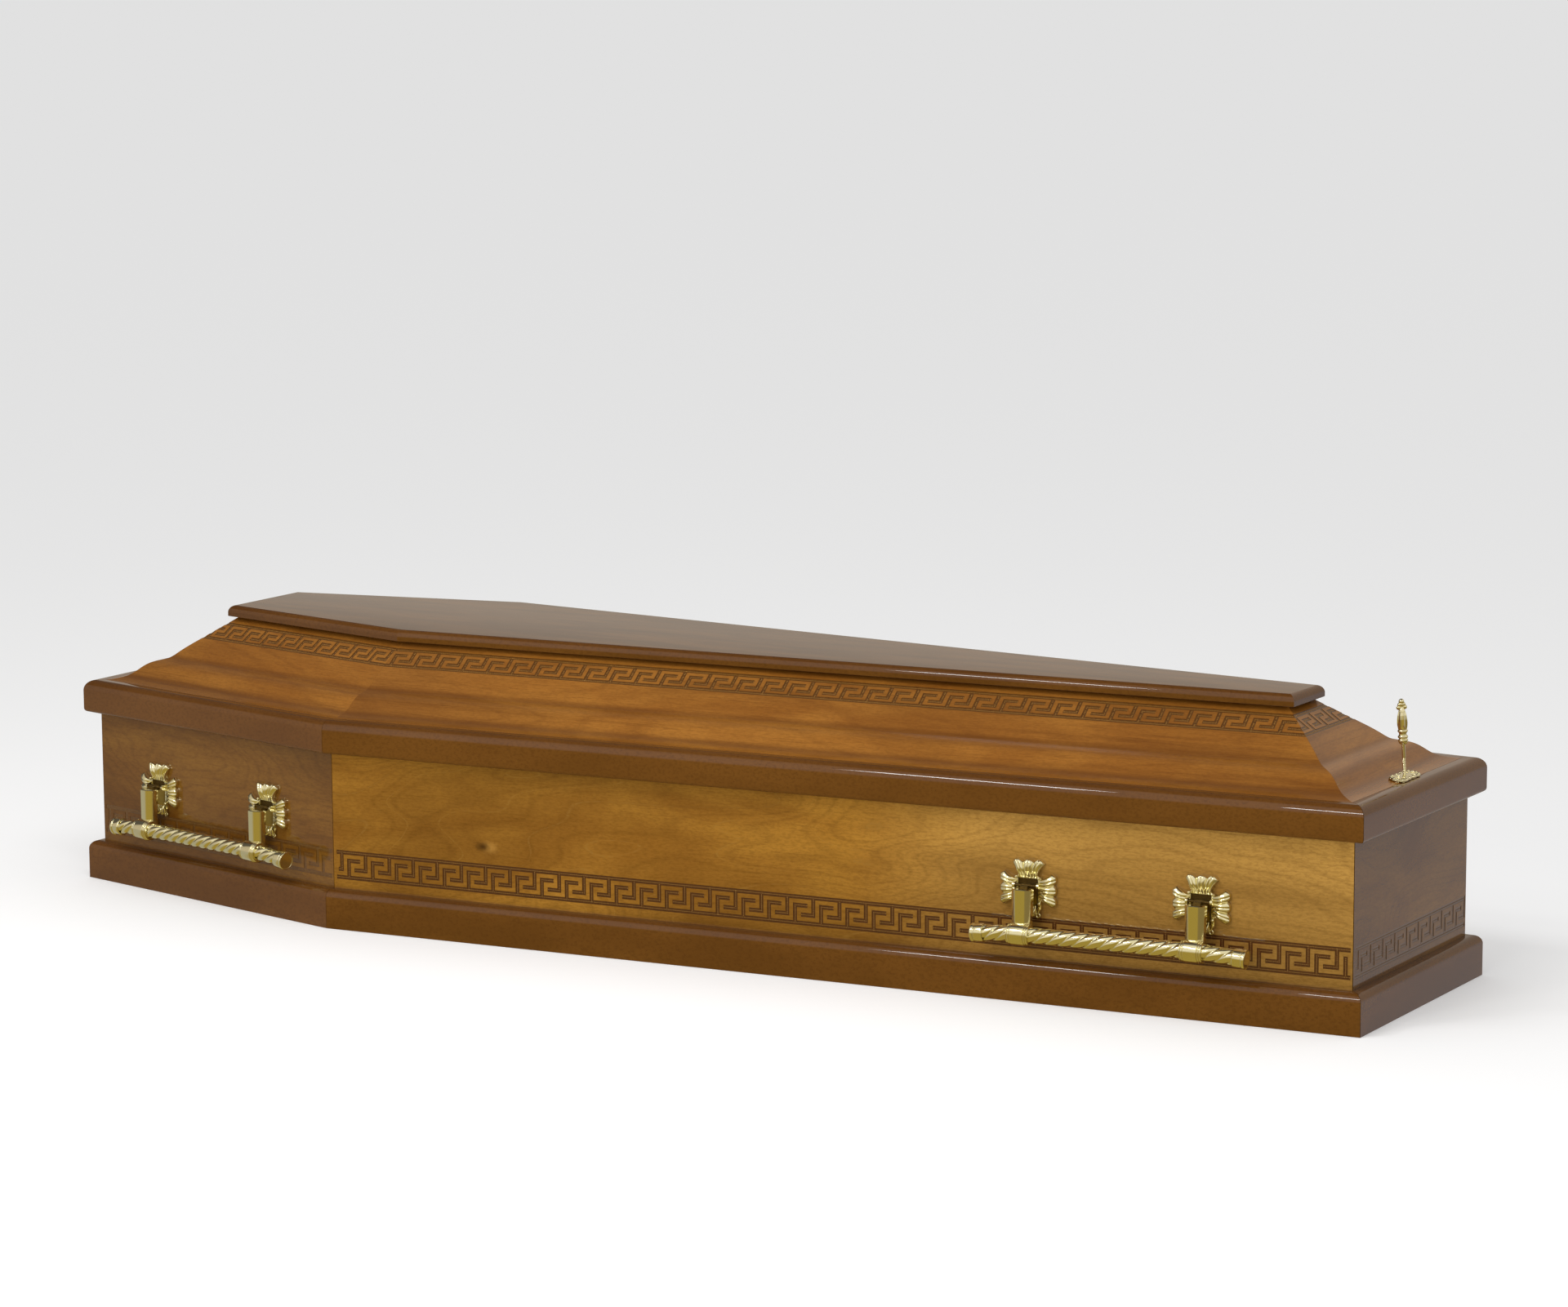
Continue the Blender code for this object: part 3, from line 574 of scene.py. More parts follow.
def pressed_board(side, rows, back, normal, band=None, surface=None, strip=(0, 0), gap=MITRE_GAP):
    """A board along one side. Rows are (outward, up) points of its face from low to high; a band presses
    its lines into the face and stands beads in them. Both ends are sawn to the mitres."""
    _, _, length = side_line(side)
    reach = 0.05
    bars, centres = key_pattern(band, strip[0], strip[1]) if band else ((), ())
    cuts = {-reach, length + reach}
    for s0, s1, _, _ in bars:
        cuts |= {round(s0 * MM, 7), round(s1 * MM, 7)}
    cuts = sorted(cuts)
    row_keys = {}
    if band:
        levels = sorted({round(t, 4) for bar in bars for t in bar[2:]})
        first = len(rows)
        rows = rows + [surface(t * MM) for t in levels]
        row_keys = {t: first + k for k, t in enumerate(levels)}
        rows = rows + band["after"]
    pressed = set()
    for s0, s1, t0, t1 in bars:
        for i in range(cuts.index(round(s0 * MM, 7)), cuts.index(round(s1 * MM, 7))):
            for j in range(row_keys[round(t0, 4)], row_keys[round(t1, 4)]):
                pressed.add((i, j))

    bm = bmesh.new()
    found = {}

    def vert(i, j, low):
        key = (i, j, low)
        if key not in found:
            out, up = rows[j]
            sunk = LINE_DEPTH * MM if low else 0.0
            found[key] = bm.verts.new((cuts[i], -(out - normal[0] * sunk), up - normal[1] * sunk))
        return found[key]

    def flank(i, j, i2, j2, one, two):
        """A wall of a pressed line, between a sunk cell and a level one."""
        if (one in pressed) != (two in pressed):
            face = bm.faces.new((vert(i, j, 0), vert(i2, j2, 0), vert(i2, j2, 1), vert(i, j, 1)))
            face.material_index = 1

    for i in range(len(cuts) - 1):
        for j in range(len(rows) - 1):
            low = (i, j) in pressed
            face = bm.faces.new((vert(i, j, low), vert(i + 1, j, low), vert(i + 1, j + 1, low),
                                 vert(i, j + 1, low)))
            face.material_index = 1 if low else 0
            flank(i, j, i, j + 1, (i - 1, j), (i, j))
            flank(i, j, i + 1, j, (i, j - 1), (i, j))

    last = len(cuts) - 1
    top = len(rows) - 1
    left = [bm.verts.new((cuts[0], -out, up)) for out, up in back]
    right = [bm.verts.new((cuts[-1], -out, up)) for out, up in back]
    bm.faces.new([vert(i, top, 0) for i in range(last + 1)] + [right[0], left[0]])
    for k in range(len(back) - 1):
        bm.faces.new((left[k], left[k + 1], right[k + 1], right[k]))
    bm.faces.new([vert(i, 0, 0) for i in range(last + 1)] + [right[-1], left[-1]])
    bm.faces.new([vert(0, j, 0) for j in range(top + 1)] + left)
    bm.faces.new([vert(last, j, 0) for j in range(top + 1)] + right)
    bmesh.ops.recalc_face_normals(bm, faces=bm.faces)
    planes = mitres(side, gap)
    for point, outward in planes:
        everything = bm.verts[:] + bm.edges[:] + bm.faces[:]
        cut = bmesh.ops.bisect_plane(bm, geom=everything, dist=1e-7, plane_co=point, plane_no=outward,
                                     clear_outer=True)["geom_cut"]
        bmesh.ops.edgeloop_fill(bm, edges=[e for e in cut if isinstance(e, bmesh.types.BMEdge)])
    bmesh.ops.recalc_face_normals(bm, faces=bm.faces)
    facing = Vector((0, -normal[0], normal[1]))
    stand_beads(bm, centres, surface, facing, planes)
    mesh = bpy.data.meshes.new("board")
    bm.to_mesh(mesh)
    bm.free()
    return mesh


def stand_beads(bm, centres, surface, facing, planes):
    """Rows of beads along the centre lines, each one whole and clear of the others."""
    taken = set()
    for s0, t0, s1, t1 in centres:
        start = Vector((s0 * MM, *swap(surface(t0 * MM))))
        end = Vector((s1 * MM, *swap(surface(t1 * MM))))
        run = end - start
        count = max(1, round(run.length / (BEAD_PITCH * MM)))
        for k in range(count + 1):
            spot = start + run * (k / count) - facing * (LINE_DEPTH * MM)
            key = (round(spot.x / (BEAD_PITCH * MM * 0.8)), round(spot.z / (BEAD_PITCH * MM * 0.8)))
            if key in taken or any((spot - point).dot(out) > -1.2 * BEAD_RADIUS * MM for point, out in planes):
                continue
            taken.add(key)
            bead_template(bm, spot, facing, Vector((1, 0, 0)))


def swap(point):
    """(outward, up) to (y, z) in a side's frame."""
    return -point[0], point[1]


def slope_height(inset):
    """Height of the moulded lid face at a distance in from the outer face of the walls."""
    knots = ((7.0, 295.7, 0.10), (28.0, 300.0, 0.30), (45.0, 311.0, 0.90), (60.0, 320.7, 0.35),
             (78.0, 325.8, 0.28), (92.0, 335.8, 0.80), (105.0, 345.7, SLOPE_PITCH))
    place = inset / MM
    last_in, last_up, _ = knots[-1]
    if place >= last_in:
        return (last_up + SLOPE_PITCH * (place - last_in)) * MM
    for (x0, z0, m0), (x1, z1, m1) in zip(knots, knots[1:]):
        if place <= x1:
            break
    run = x1 - x0
    t = (place - x0) / run
    rise = z0 * (2 * t**3 - 3 * t**2 + 1) + z1 * (3 * t**2 - 2 * t**3)
    bend = run * (m0 * (t**3 - 2 * t**2 + t) + m1 * (t**3 - t**2))
    return (rise + bend) * MM


def make_walls():
    for side in SIDES:
        length = side_line(side)[2] / MM
        band = dict(WALL_BAND, after=[(0.0, 0.150), (0.0, 0.200), (0.0, WALL_TOP)])
        mesh = pressed_board(side, [(0.0, 0.0), (0.0, 0.055)], [(-WALL, WALL_TOP), (-WALL, 0.0)], (1, 0), band,
                             lambda t: (0.0, t), (5.3, length - 3.4), 0.0009)
        pressed = (WALL_PRESSED, WALL_BEAD) if side.startswith("side") else (END_PRESSED, END_BEAD)
        add_piece("panel_" + side, mesh, side_matrix(side), (VENEER[side], *pressed), "coffin",
                  ["wall_" + side])


def make_slopes():
    lean = math.atan(SLOPE_PITCH)
    ledge = LEDGE_IN + 0.0003
    seat = RIM_LEDGE + 0.0003
    rows = [(-ledge, seat)]
    steps = 46
    for k in range(steps + 1):
        inset = ledge + (0.110 - ledge) * k / steps
        rows.append((-inset, slope_height(inset)))
    high = 0.105 + (SLOPE_TOP - slope_height(0.105)) / SLOPE_PITCH
    back = [(-high - SLOPE_THICK, SLOPE_TOP), (-SLOPE_SEAT_IN, seat)]
    for side in SIDES:
        length = side_line(side)[2] / MM
        band = dict(LID_BAND, squeeze=math.cos(lean), after=[(-high, SLOPE_TOP)])
        mesh = pressed_board(side, rows, back, (math.sin(lean), math.cos(lean)), band,
                             lambda t: (-t, slope_height(t)), (-30.0, length + 30.0), HAIRLINE)
        add_piece("lid_cove_" + side, mesh, side_matrix(side), (LID_VENEER[side], LID_PRESSED, LID_BEAD),
                  "coffin", ["lid_slope_" + side])


def make_mouldings():
    nose = arc(PLINTH_OUT - PLINTH_ROUND, PLINTH_TOP - PLINTH_ROUND, PLINTH_ROUND, 0, 90, 14)
    plinth = [(PLINTH_OUT, 0.0)] + nose
    plinth_back = [(HAIRLINE, PLINTH_TOP), (HAIRLINE, 0.0)]
    under = arc(RIM_OUT - RIM_UNDER, RIM_BOTTOM + RIM_UNDER, RIM_UNDER, -90, 0, 8)
    crown = arc(RIM_OUT - RIM_ROUND, RIM_CREST - RIM_ROUND, RIM_ROUND, 0, 90, 22)
    rim = under + crown + [(-LEDGE_IN, RIM_CREST - 0.0004)]
    rim_back = [(-LEDGE_IN, RIM_LEDGE), (-WALL, RIM_LEDGE), (-WALL, RIM_BOTTOM)]
    for side in SIDES:
        for kind, rows, back in (("plinth_", plinth, plinth_back), ("lid_rim_", rim, rim_back)):
            mesh = pressed_board(side, rows, back, (1, 0))
            add_piece("gloss_" + kind + side, mesh, side_matrix(side), (DARK_WOOD,), "coffin", [kind + side],
                      40)


def make_top_board():
    """Flat six-sided board with a rounded upper edge."""
    rings = []
    for inset, up in [(0.0006, BOARD_BOTTOM), (0.0, BOARD_BOTTOM + 0.0006)] + [
            (BOARD_ROUND - x, z) for x, z in arc(0, BOARD_TOP - BOARD_ROUND, BOARD_ROUND, 0, 90, 14)]:
        rings.append([(p.x, p.y, up) for p in plan(-BOARD_IN - inset)])
    bm = bmesh.new()
    skin(bm, rings)
    mesh = finish_mesh("top_board", bm)
    for face in mesh.polygons:
        face.material_index = 1 if face.normal.z > 0.999 else 0
    add_piece("gloss_lid_top_board", mesh, Matrix(), (DARK_WOOD, TOP_WOOD), "coffin", ["lid_top_board"],
              12)


# Drop handles
def smooth(value, low, high):
    """0 below low, 1 above high, eased between."""
    t = min(1.0, max(0.0, (value - low) / (high - low)))
    return t * t * (3 - 2 * t)


def petal(root, tip, half_root, half_tip, turn):
    """One arm of the cross: three broad pillowed lobes with a soft groove in each, rolled back at the tip."""
    columns = 84
    rows = 22
    bm = bmesh.new()
    spin = Matrix.Rotation(turn, 4, "Y")
    grid = []
    for a in range(columns + 1):
        u = -1 + 2 * a / columns
        off_lobe = 2 * abs((1.5 * u + 0.5) % 1.0 - 0.5)
        pillow = 1 - off_lobe ** 2.6 - 0.55 * math.exp(-(off_lobe / 0.20) ** 2)
        edge = tip - 3.2 * off_lobe ** 2.2 - 2.2 * smooth(abs(u), 0.80, 1.0)
        line = []
        for b in range(rows + 1):
            v = b / rows
            half = half_root + (half_tip - half_root) * v ** 1.7
            high = 5.6 + 2.0 * smooth(v, -0.1, 0.5) - 2.7 * max(0.0, (v - 0.42) / 0.58) ** 2
            high += (0.5 + 2.4 * smooth(v, 0.0, 0.6) - 0.8 * smooth(v, 0.7, 1.0)) * pillow
            high -= 0.9 * smooth(v, 0.92, 1.0) ** 2 + 0.9 * smooth(abs(u), 0.94, 1.0)
            line.append((u * half, -high, root + (edge - root) * v))
        grid.append(line)
    top = [[bm.verts.new(spin @ Vector(p)) for p in line] for line in grid]
    for a in range(columns):
        for b in range(rows):
            bm.faces.new((top[a][b], top[a + 1][b], top[a + 1][b + 1], top[a][b + 1]))
    loop = [(a, 0) for a in range(columns)] + [(columns, b) for b in range(rows)]
    loop += [(a, rows) for a in range(columns, 0, -1)] + [(0, b) for b in range(rows, 0, -1)]
    shoulder, foot = [], []
    for a, b in loop:
        x, y, z = grid[a][b]
        shoulder.append(bm.verts.new(spin @ Vector((x * 1.012, y + 1.2, z * 1.006))))
        foot.append(bm.verts.new(spin @ Vector((x * 1.012, -0.3, z * 1.006))))
    rim = [top[a][b] for a, b in loop]
    for near, far in ((rim, shoulder), (shoulder, foot)):
        for i in range(len(loop)):
            j = (i + 1) % len(loop)
            bm.faces.new((near[i], near[j], far[j], far[i]))
    bm.faces.new(foot)
    return finish_mesh("petal", bm)


def slab(outline, low, high, soften=0.0):
    """An outline in the XZ plane from y = -low out to y = -high, its outer edge eased."""
    bm = bmesh.new()
    base = bm.faces.new([bm.verts.new((x, -low, z)) for x, z in outline])
    grown = bmesh.ops.extrude_face_region(bm, geom=[base])["geom"]
    risen = [v for v in grown if isinstance(v, bmesh.types.BMVert)]
    bmesh.ops.translate(bm, verts=risen, vec=(0, low - high, 0))
    if soften:
        edges = [e for e in bm.edges if all(abs(v.co.y + high) < 1e-6 for v in e.verts)]
        bmesh.ops.bevel(bm, geom=edges, offset=soften, segments=2, profile=0.5, affect="EDGES")
    return finish_mesh("slab", bm)


def rectangle(x0, z0, x1, z1):
    return [(x0, z0), (x1, z0), (x1, z1), (x0, z1)]


def ball(x, y, z, radius, segments=14):
    bm = bmesh.new()
    bmesh.ops.create_uvsphere(bm, u_segments=segments, v_segments=segments // 2, radius=radius,
                              matrix=Matrix.Translation((x, y, z)))
    return finish_mesh("ball", bm)


def cheek(side):
    """Lug beside the recess, rounded about the hinge pin that it carries."""
    outline = [(0.6, 4.0), (AXIS_UP - 3.8, AXIS_OUT)]
    outline += [(AXIS_UP + x, AXIS_OUT + y) for x, y in arc(0, 0, 3.8, 165, 15, 10)]
    outline += [(AXIS_UP + 3.8, AXIS_OUT), (11.8, 4.0)]
    bm = bmesh.new()
    inner, outer = side * (RECESS_HALF - 0.1), side * 18.6
    skin(bm, [[(x, -out, up) for up, out in outline] for x in (inner, outer)])
    return finish_mesh("cheek", bm)


def ring_end(x, z):
    """Small ring at the end of a prong."""
    profile = [(2.5 + 0.95 * math.cos(k * math.pi / 4), 0.95 * math.sin(k * math.pi / 4)) for k in range(8)]
    mesh = turned("ring", profile, 20, closed=True)
    mesh.transform(Matrix.Translation((x, -4.2, z)) @ Matrix.Rotation(math.pi / 2, 4, "X"))
    return mesh


def prong(side):
    """Thin curled prong that runs down beside the post from a corner of the recess."""
    spine = ((16.6, -22.0, 2.4), (16.9, -24.5, 1.9), (16.2, -27.0, 1.4), (15.0, -29.2, 1.1), (14.4, -31.2, 0.9))
    rings = []
    for x, z, thick in spine:
        rings.append([(side * x + thick * math.cos(k * math.pi / 4), -4.2 + thick * math.sin(k * math.pi / 4), z)
                      for k in range(8)])
    bm = bmesh.new()
    skin(bm, rings)
    return finish_mesh("prong", bm)


def cross_mesh():
    """Cast cross: four lobed petals round a deep recess, two cheeks and a curled prong below each side."""
    shells = [petal(15.4, 40.0, 12.6, 22.4, 0.0)]
    shells += [petal(15.0, 39.2, 13.4, 22.6, way * math.pi / 2) for way in (1, -1)]
    shells.append(petal(21.0, 35.6, 11.5, 12.5, math.pi))
    wide = 18.4
    for side in (-1, 1):
        inner, outer = sorted((side * SLOT_HALF, side * wide))
        shells.append(slab(rectangle(inner, -25.5, outer, 16.8), 0.3, 5.4, 0.8))
        shells.append(cheek(side))
        shells.append(prong(side))
        shells.append(ring_end(side * 14.4, -33.8))
        shells.append(ball(side * 15.8, -7.2, 16.4, 2.2))
        shells.append(ball(side * 16.8, -7.2, -17.6, 2.4))
    shells.append(slab(rectangle(-SLOT_HALF - 0.5, 15.2, SLOT_HALF + 0.5, 19.0), 0.3, 5.6, 0.8))
    # Floor of the recess in painted shade: dark at the top and in strips at the sides, dimmer gilt in the middle.
    for outline, finish in ((rectangle(-SLOT_IN, -24.8, SLOT_IN, 3.6), 2),
                            (rectangle(-SLOT_HALF - 0.5, 3.7, SLOT_HALF + 0.5, 15.1), 1),
                            (rectangle(SLOT_IN + 0.1, -24.8, SLOT_HALF + 0.5, 3.6), 1),
                            (rectangle(-SLOT_HALF - 0.5, -24.8, -SLOT_IN - 0.1, 3.6), 1)):
        bottom = slab(outline, 0.3, 1.3)
        for face in bottom.polygons:
            face.material_index = finish
        shells.append(bottom)
    return joined("cross", shells)


def post_ring(half, facet, front, bevel, back, up):
    """Section of the post: flat front, two broad bevels, straight sides, each corner eased."""
    right = [(half, -back), (half, bevel - front), (facet, -front)]
    left = [(-x, y) for x, y in reversed(right)]
    corners = right + left
    ring = []
    ease = 0.25
    for before, here, after in zip([corners[-1]] + corners, corners, corners[1:] + corners[:1]):
        b = Vector(here)
        ring.append(b + (Vector(before) - b).normalized() * ease)
        ring.append(b + (Vector(after) - b).normalized() * ease)
    return [(p.x, p.y, up) for p in ring]


def arm_mesh():
    """Post, ringed collar, hinge tongue and pin."""
    post = bmesh.new()
    skin(post, [post_ring(12.7, 6.3, 34.0, 6.0, 20.0, -45.0),
                post_ring(13.7, 6.75, 34.0, 6.1, 18.0, POST_TOP - 0.9),
                post_ring(12.9, 6.3, 33.1, 6.0, 18.8, POST_TOP)])
    lay = Matrix.Translation((-COLLAR_LEFT, -BAR_OUT, BAR_UP)) @ Matrix.Rotation(math.pi / 2, 4, "Y")
    outer = [(10.4, 0.0), (13.4, 0.0), (13.8, 0.7), (13.4, 1.5), (12.9, 1.8), (13.9, 2.3), (14.3, 3.6),
             (13.9, 4.9), (13.2, 5.3), (14.7, 5.7), (15.0, 6.4), (15.0, 24.0), (14.7, 24.6), (13.6, 24.9),
             (14.3, 25.3), (14.7, 26.3), (14.3, 27.3), (13.4, 27.6), (13.9, 28.0), (14.2, 29.0),
             (13.8, 30.2), (13.2, 30.6), (10.4, 30.6)]
    collar = turned("collar", rounded(outer, 0.35, 2), 64, closed=True)
    tongue = slab([(-5.0, AXIS_UP - 4.5), (5.0, AXIS_UP - 4.5), (5.0, AXIS_UP + 1.0), (-5.0, AXIS_UP + 1.0)],
                  AXIS_OUT - 3.5, 20.0, 0.4)
    rod = turned("pin", rounded(((0, -17.6), (1.7, -17.6), (1.7, -6.4), (2.5, -5.8), (2.9, -4.4), (2.5, -2.0),
                                 (2.5, 2.0), (2.9, 4.4), (2.5, 5.8), (1.7, 6.4), (1.7, 17.6), (0, 17.6)), 0.5), 24)
    # The tongue and pin in the recess take its dark painted shade.
    for hidden in (tongue, rod):
        for face in hidden.polygons:
            face.material_index = 1
    across = Matrix.Translation((0, -AXIS_OUT, AXIS_UP)) @ Matrix.Rotation(math.pi / 2, 4, "Y")
    return joined("arm", [finish_mesh("post", post), (collar, lay), tongue, (rod, across)])


def sag(x):
    """How far the bar's ends droop outside the collars."""
    left = -POST_HALF - COLLAR_LEFT
    right = POST_HALF - COLLAR_LEFT + COLLAR_LONG
    return math.tan(DROOP) * max(0.0, left - x, x - right)


def bar_mesh():
    """Twisted bar: round strands with sharp valleys between, running on through collars and caps."""
    around = 88
    step = 1.3
    low = BAR_MIDDLE - BAR_LENGTH / 2 + 6.0
    high = BAR_MIDDLE + BAR_LENGTH / 2 - 6.0
    count = round((high - low) / step)
    rings = []
    for k in range(count + 1):
        x = low + (high - low) * k / count
        ring = []
        for i in range(around):
            angle = 2 * math.pi * i / around
            across = abs(2 * ((angle * STRANDS / (2 * math.pi) + x / LOBE_PITCH) % 1.0) - 1)
            radius = ROPE_VALLEY + (ROPE_TIP - ROPE_VALLEY) * math.sqrt(1 - across ** 2.2)
            if x < low + 11.2 or x > high - 11.2:
                radius = min(radius, 10.3)
            ring.append((x, radius * math.cos(angle), radius * math.sin(angle) - sag(x)))
        rings.append(ring)
    bm = bmesh.new()
    skin(bm, rings)
    return finish_mesh("bar", bm)


def cap_mesh():
    """Turned cup over the bar's end, a groove and a raised lip at its closed end."""
    outer = [(0, -5.0), (10.5, -5.0), (10.5, -CAP_LONG), (11.6, -CAP_LONG), (12.2, -17.0), (12.6, -16.0),
             (12.6, -6.2), (12.2, -5.6), (12.2, -4.6), (12.9, -4.2), (13.1, -3.6), (13.1, -1.0),
             (12.6, -0.2), (11.6, 0.0), (10.6, -0.5), (0, -0.7)]
    return turned("cap", rounded(outer, 0.4, 2), 56)


def handle_frame(joint):
    """Hub frame of a handle, from its hinge joint: X along the side, Y inward, Z up, in millimetres."""
    along = -Vector(joint["axis"])
    inward = Vector((-along.y, along.x, 0))
    turn = Matrix((along, inward, (0, 0, 1))).transposed().to_4x4()
    spot = Matrix.Translation(joint["pos_m"])
    return spot @ turn @ Matrix.Translation((0, AXIS_OUT * MM, -AXIS_UP * MM)) @ Matrix.Scale(MM, 4)


def make_handles():
    cross, arm, bar, cap = cross_mesh(), arm_mesh(), bar_mesh(), cap_mesh()
    for joint in frame["joints"]:
        handle = joint["child"]
        hub = handle_frame(joint)
        axle = hub @ Matrix.Translation((0, -BAR_OUT, BAR_UP))
        for which, sign in (("left", -1), ("right", 1)):
            spot = hub @ Matrix.Translation((sign * POST_HALF, 0, 0))
            for kind, mesh, body in (("cross", cross, "coffin"), ("arm", arm, handle)):
                add_piece(f"cast_{handle}_{kind}_{which}", mesh, spot, (GILT, RECESS_SHADE_DARK, RECESS_SHADE_GILT), body,
                          [f"{handle}_{kind}_{which}"], 38)
            end_x = BAR_MIDDLE + sign * BAR_LENGTH / 2
            place = Matrix.Translation((end_x, 0, -sag(end_x)))
            turn = Matrix.Rotation(sign * (math.pi / 2 + DROOP), 4, "Y")
            add_piece(f"turned_{handle}_cap_{which}", cap, axle @ place @ turn, (GILT,), handle,
                      [f"{handle}_cap_{which}"], 38)
        add_piece(f"twisted_{handle}_bar", bar, axle, (GILT,), handle, [f"{handle}_bar"], 60)


# Lid screw
def screw_mesh():
    """Threaded shank, cup, rings, fluted grip and trefoil finial; height 0 is at the rosette."""
    shells = []
    rings = []
    around = 20
    low, high, pitch = -84.0, 24.0, 1.5
    count = round((high - low) / (pitch / 4))
    for k in range(count + 1):
        z = low + (high - low) * k / count
        ring = []
        for i in range(around):
            angle = 2 * math.pi * i / around
            wave = ((z / pitch + i / around) % 1.0)
            radius = 1.85 + 0.5 * (1 - abs(2 * wave - 1))
            radius *= smooth(z, low - 1.0, low + 5.0) * 0.9 + 0.1
            ring.append((radius * math.cos(angle), radius * math.sin(angle), z))
        rings.append(ring)
    thread = bmesh.new()
    skin(thread, rings)
    shells.append(finish_mesh("thread", thread))
    shells.append(turned("shank", ((0, 23.5), (2.3, 23.5), (2.35, 24.2), (2.35, 41.5), (0, 41.5)), 24))

    outer = [(0, 41.0), (3.6, 41.0), (5.0, 42.2), (6.3, 44.6), (6.5, 47.2), (5.6, 48.3), (4.9, 48.8),
             (6.0, 49.6), (6.8, 51.0), (6.3, 52.4), (5.1, 53.4), (4.9, 56.2), (6.2, 57.4), (6.9, 58.8),
             (6.3, 60.0), (5.5, 60.6), (6.3, 62.4), (7.0, 65.6), (7.25, 69.5), (7.0, 74.0), (6.2, 79.4),
             (4.9, 84.0), (3.4, 87.6), (2.6, 89.6), (2.4, 92.6), (0, 93.6)]
    profile = rounded(outer, 0.8, 3)
    around = 48
    rings = []
    for radius, z in profile:
        ring = []
        fluted = smooth(z, 61.0, 64.5) * (1 - smooth(z, 83.0, 87.0))
        for i in range(around):
            angle = 2 * math.pi * i / around
            scoop = 1 - 0.16 * fluted * abs(math.sin(4 * angle)) ** 0.8
            ring.append((max(radius, 0.02) * scoop * math.cos(angle),
                         max(radius, 0.02) * scoop * math.sin(angle), z))
        rings.append(ring)
    grip = bmesh.new()
    skin(grip, rings)
    shells.append(finish_mesh("grip", grip))
    for out, up, size in ((0.0, 97.2, 3.7), (0.0, 93.4, 3.4), (-4.6, 89.6, 3.0), (4.6, 89.6, 3.0),
                          (-3.0, 93.4, 2.7), (3.0, 93.4, 2.7)):
        shells.append(ball(out * 0.6, out * 0.8, up, size, 20))
    return joined("screw", shells)


def rosette_mesh():
    """Pierced plate of two scalloped fans, each with beaded lobes round its edge."""
    quarter = [(9.6, 0.0), (11.4, 13.0), (11.0, 26.0), (5.6, 31.0)]
    half = quarter + [(0.0, 32.3)] + [(-x, y) for x, y in reversed(quarter)]
    cusps = half + [(-x, -y) for x, y in half[1:-1]]
    outline = []
    for i, here in enumerate(cusps):
        there = cusps[(i + 1) % len(cusps)]
        run = (there[0] - here[0], there[1] - here[1])
        size = math.hypot(*run)
        for k in range(8):
            t = k / 8
            swell = 1.25 * math.sin(math.pi * t) / size
            outline.append((here[0] + run[0] * t + run[1] * swell, here[1] + run[1] * t - run[0] * swell))
    bm = bmesh.new()
    rings = [(1.0, 0.0), (1.0, 1.2), (0.985, 1.8), (0.95, 2.15)]
    skin(bm, [[(x * f, y * f, up) for x, y in outline] for f, up in rings])
    plate = bpy.data.objects.new("plate", finish_mesh("plate", bm))
    bpy.context.scene.collection.objects.link(plate)
    cutters = []
    slots = [(a * way, b * way, t) for a, b, t in ((4.6, 14.5, 14), (-4.6, 14.5, -14), (0.0, 24.0, 0))
             for way in (1, -1)]
    for across, along, turn in slots:
        hole = bmesh.new()
        ring = [(x * 2.0, y * 4.6, 0) for x, y in arc(0, 0, 1, 0, 345, 23)]
        skin(hole, [[(x, y, -3) for x, y, _ in ring], [(x, y, 1.2) for x, y, _ in ring],
                    [(x * 1.5, y * 1.2, 2.6) for x, y, _ in ring]])
        matrix = Matrix.Translation((across, along, 0)) @ Matrix.Rotation(math.radians(-turn), 4, "Z")
        mesh = finish_mesh("hole", hole)
        mesh.transform(matrix)
        cutter = bpy.data.objects.new("hole", mesh)
        bpy.context.scene.collection.objects.link(cutter)
        step = plate.modifiers.new("hole", "BOOLEAN")
        step.solver = "EXACT"
        step.object = cutter
        cutters.append(cutter)
    bpy.context.view_layer.update()
    graph = bpy.context.evaluated_depsgraph_get()
    pierced = bpy.data.meshes.new_from_object(plate.evaluated_get(graph))
    for thing in (plate, *cutters):
        bpy.data.objects.remove(thing)
    shells = [pierced]
    for i, (x, y) in enumerate(cusps):
        there = cusps[(i + 1) % len(cusps)]
        shells.append(ball((x + there[0]) * 0.445, (y + there[1]) * 0.47, 1.3, 2.2, 12))
    return joined("rosette", shells)


def make_screw():
    axis = Vector((0.513, -0.858, 0.0))
    spot = Matrix.Translation((SCREW_X, SCREW_Y, 0.300)) @ Matrix.Rotation(SCREW_LEAN, 4, axis)
    add_piece("ornamental_coffin_screw", screw_mesh(), spot @ Matrix.Scale(MM, 4), (GILT,), "coffin",
              ["coffin_screw"], 45)
    seat = Matrix.Translation((SCREW_X, SCREW_Y, ROSETTE_SEAT)) @ Matrix.Rotation(ROSETTE_TILT, 4, "Y")
    add_piece("pierced_screw_rosette", rosette_mesh(), seat @ Matrix.Scale(MM, 4), (GILT,), "coffin",
              ["screw_rosette"], 38)


def finish_floor_board():
    node = frame["nodes"]["floor_board"]
    node.data.materials.clear()
    node.data.materials.append(RAW)


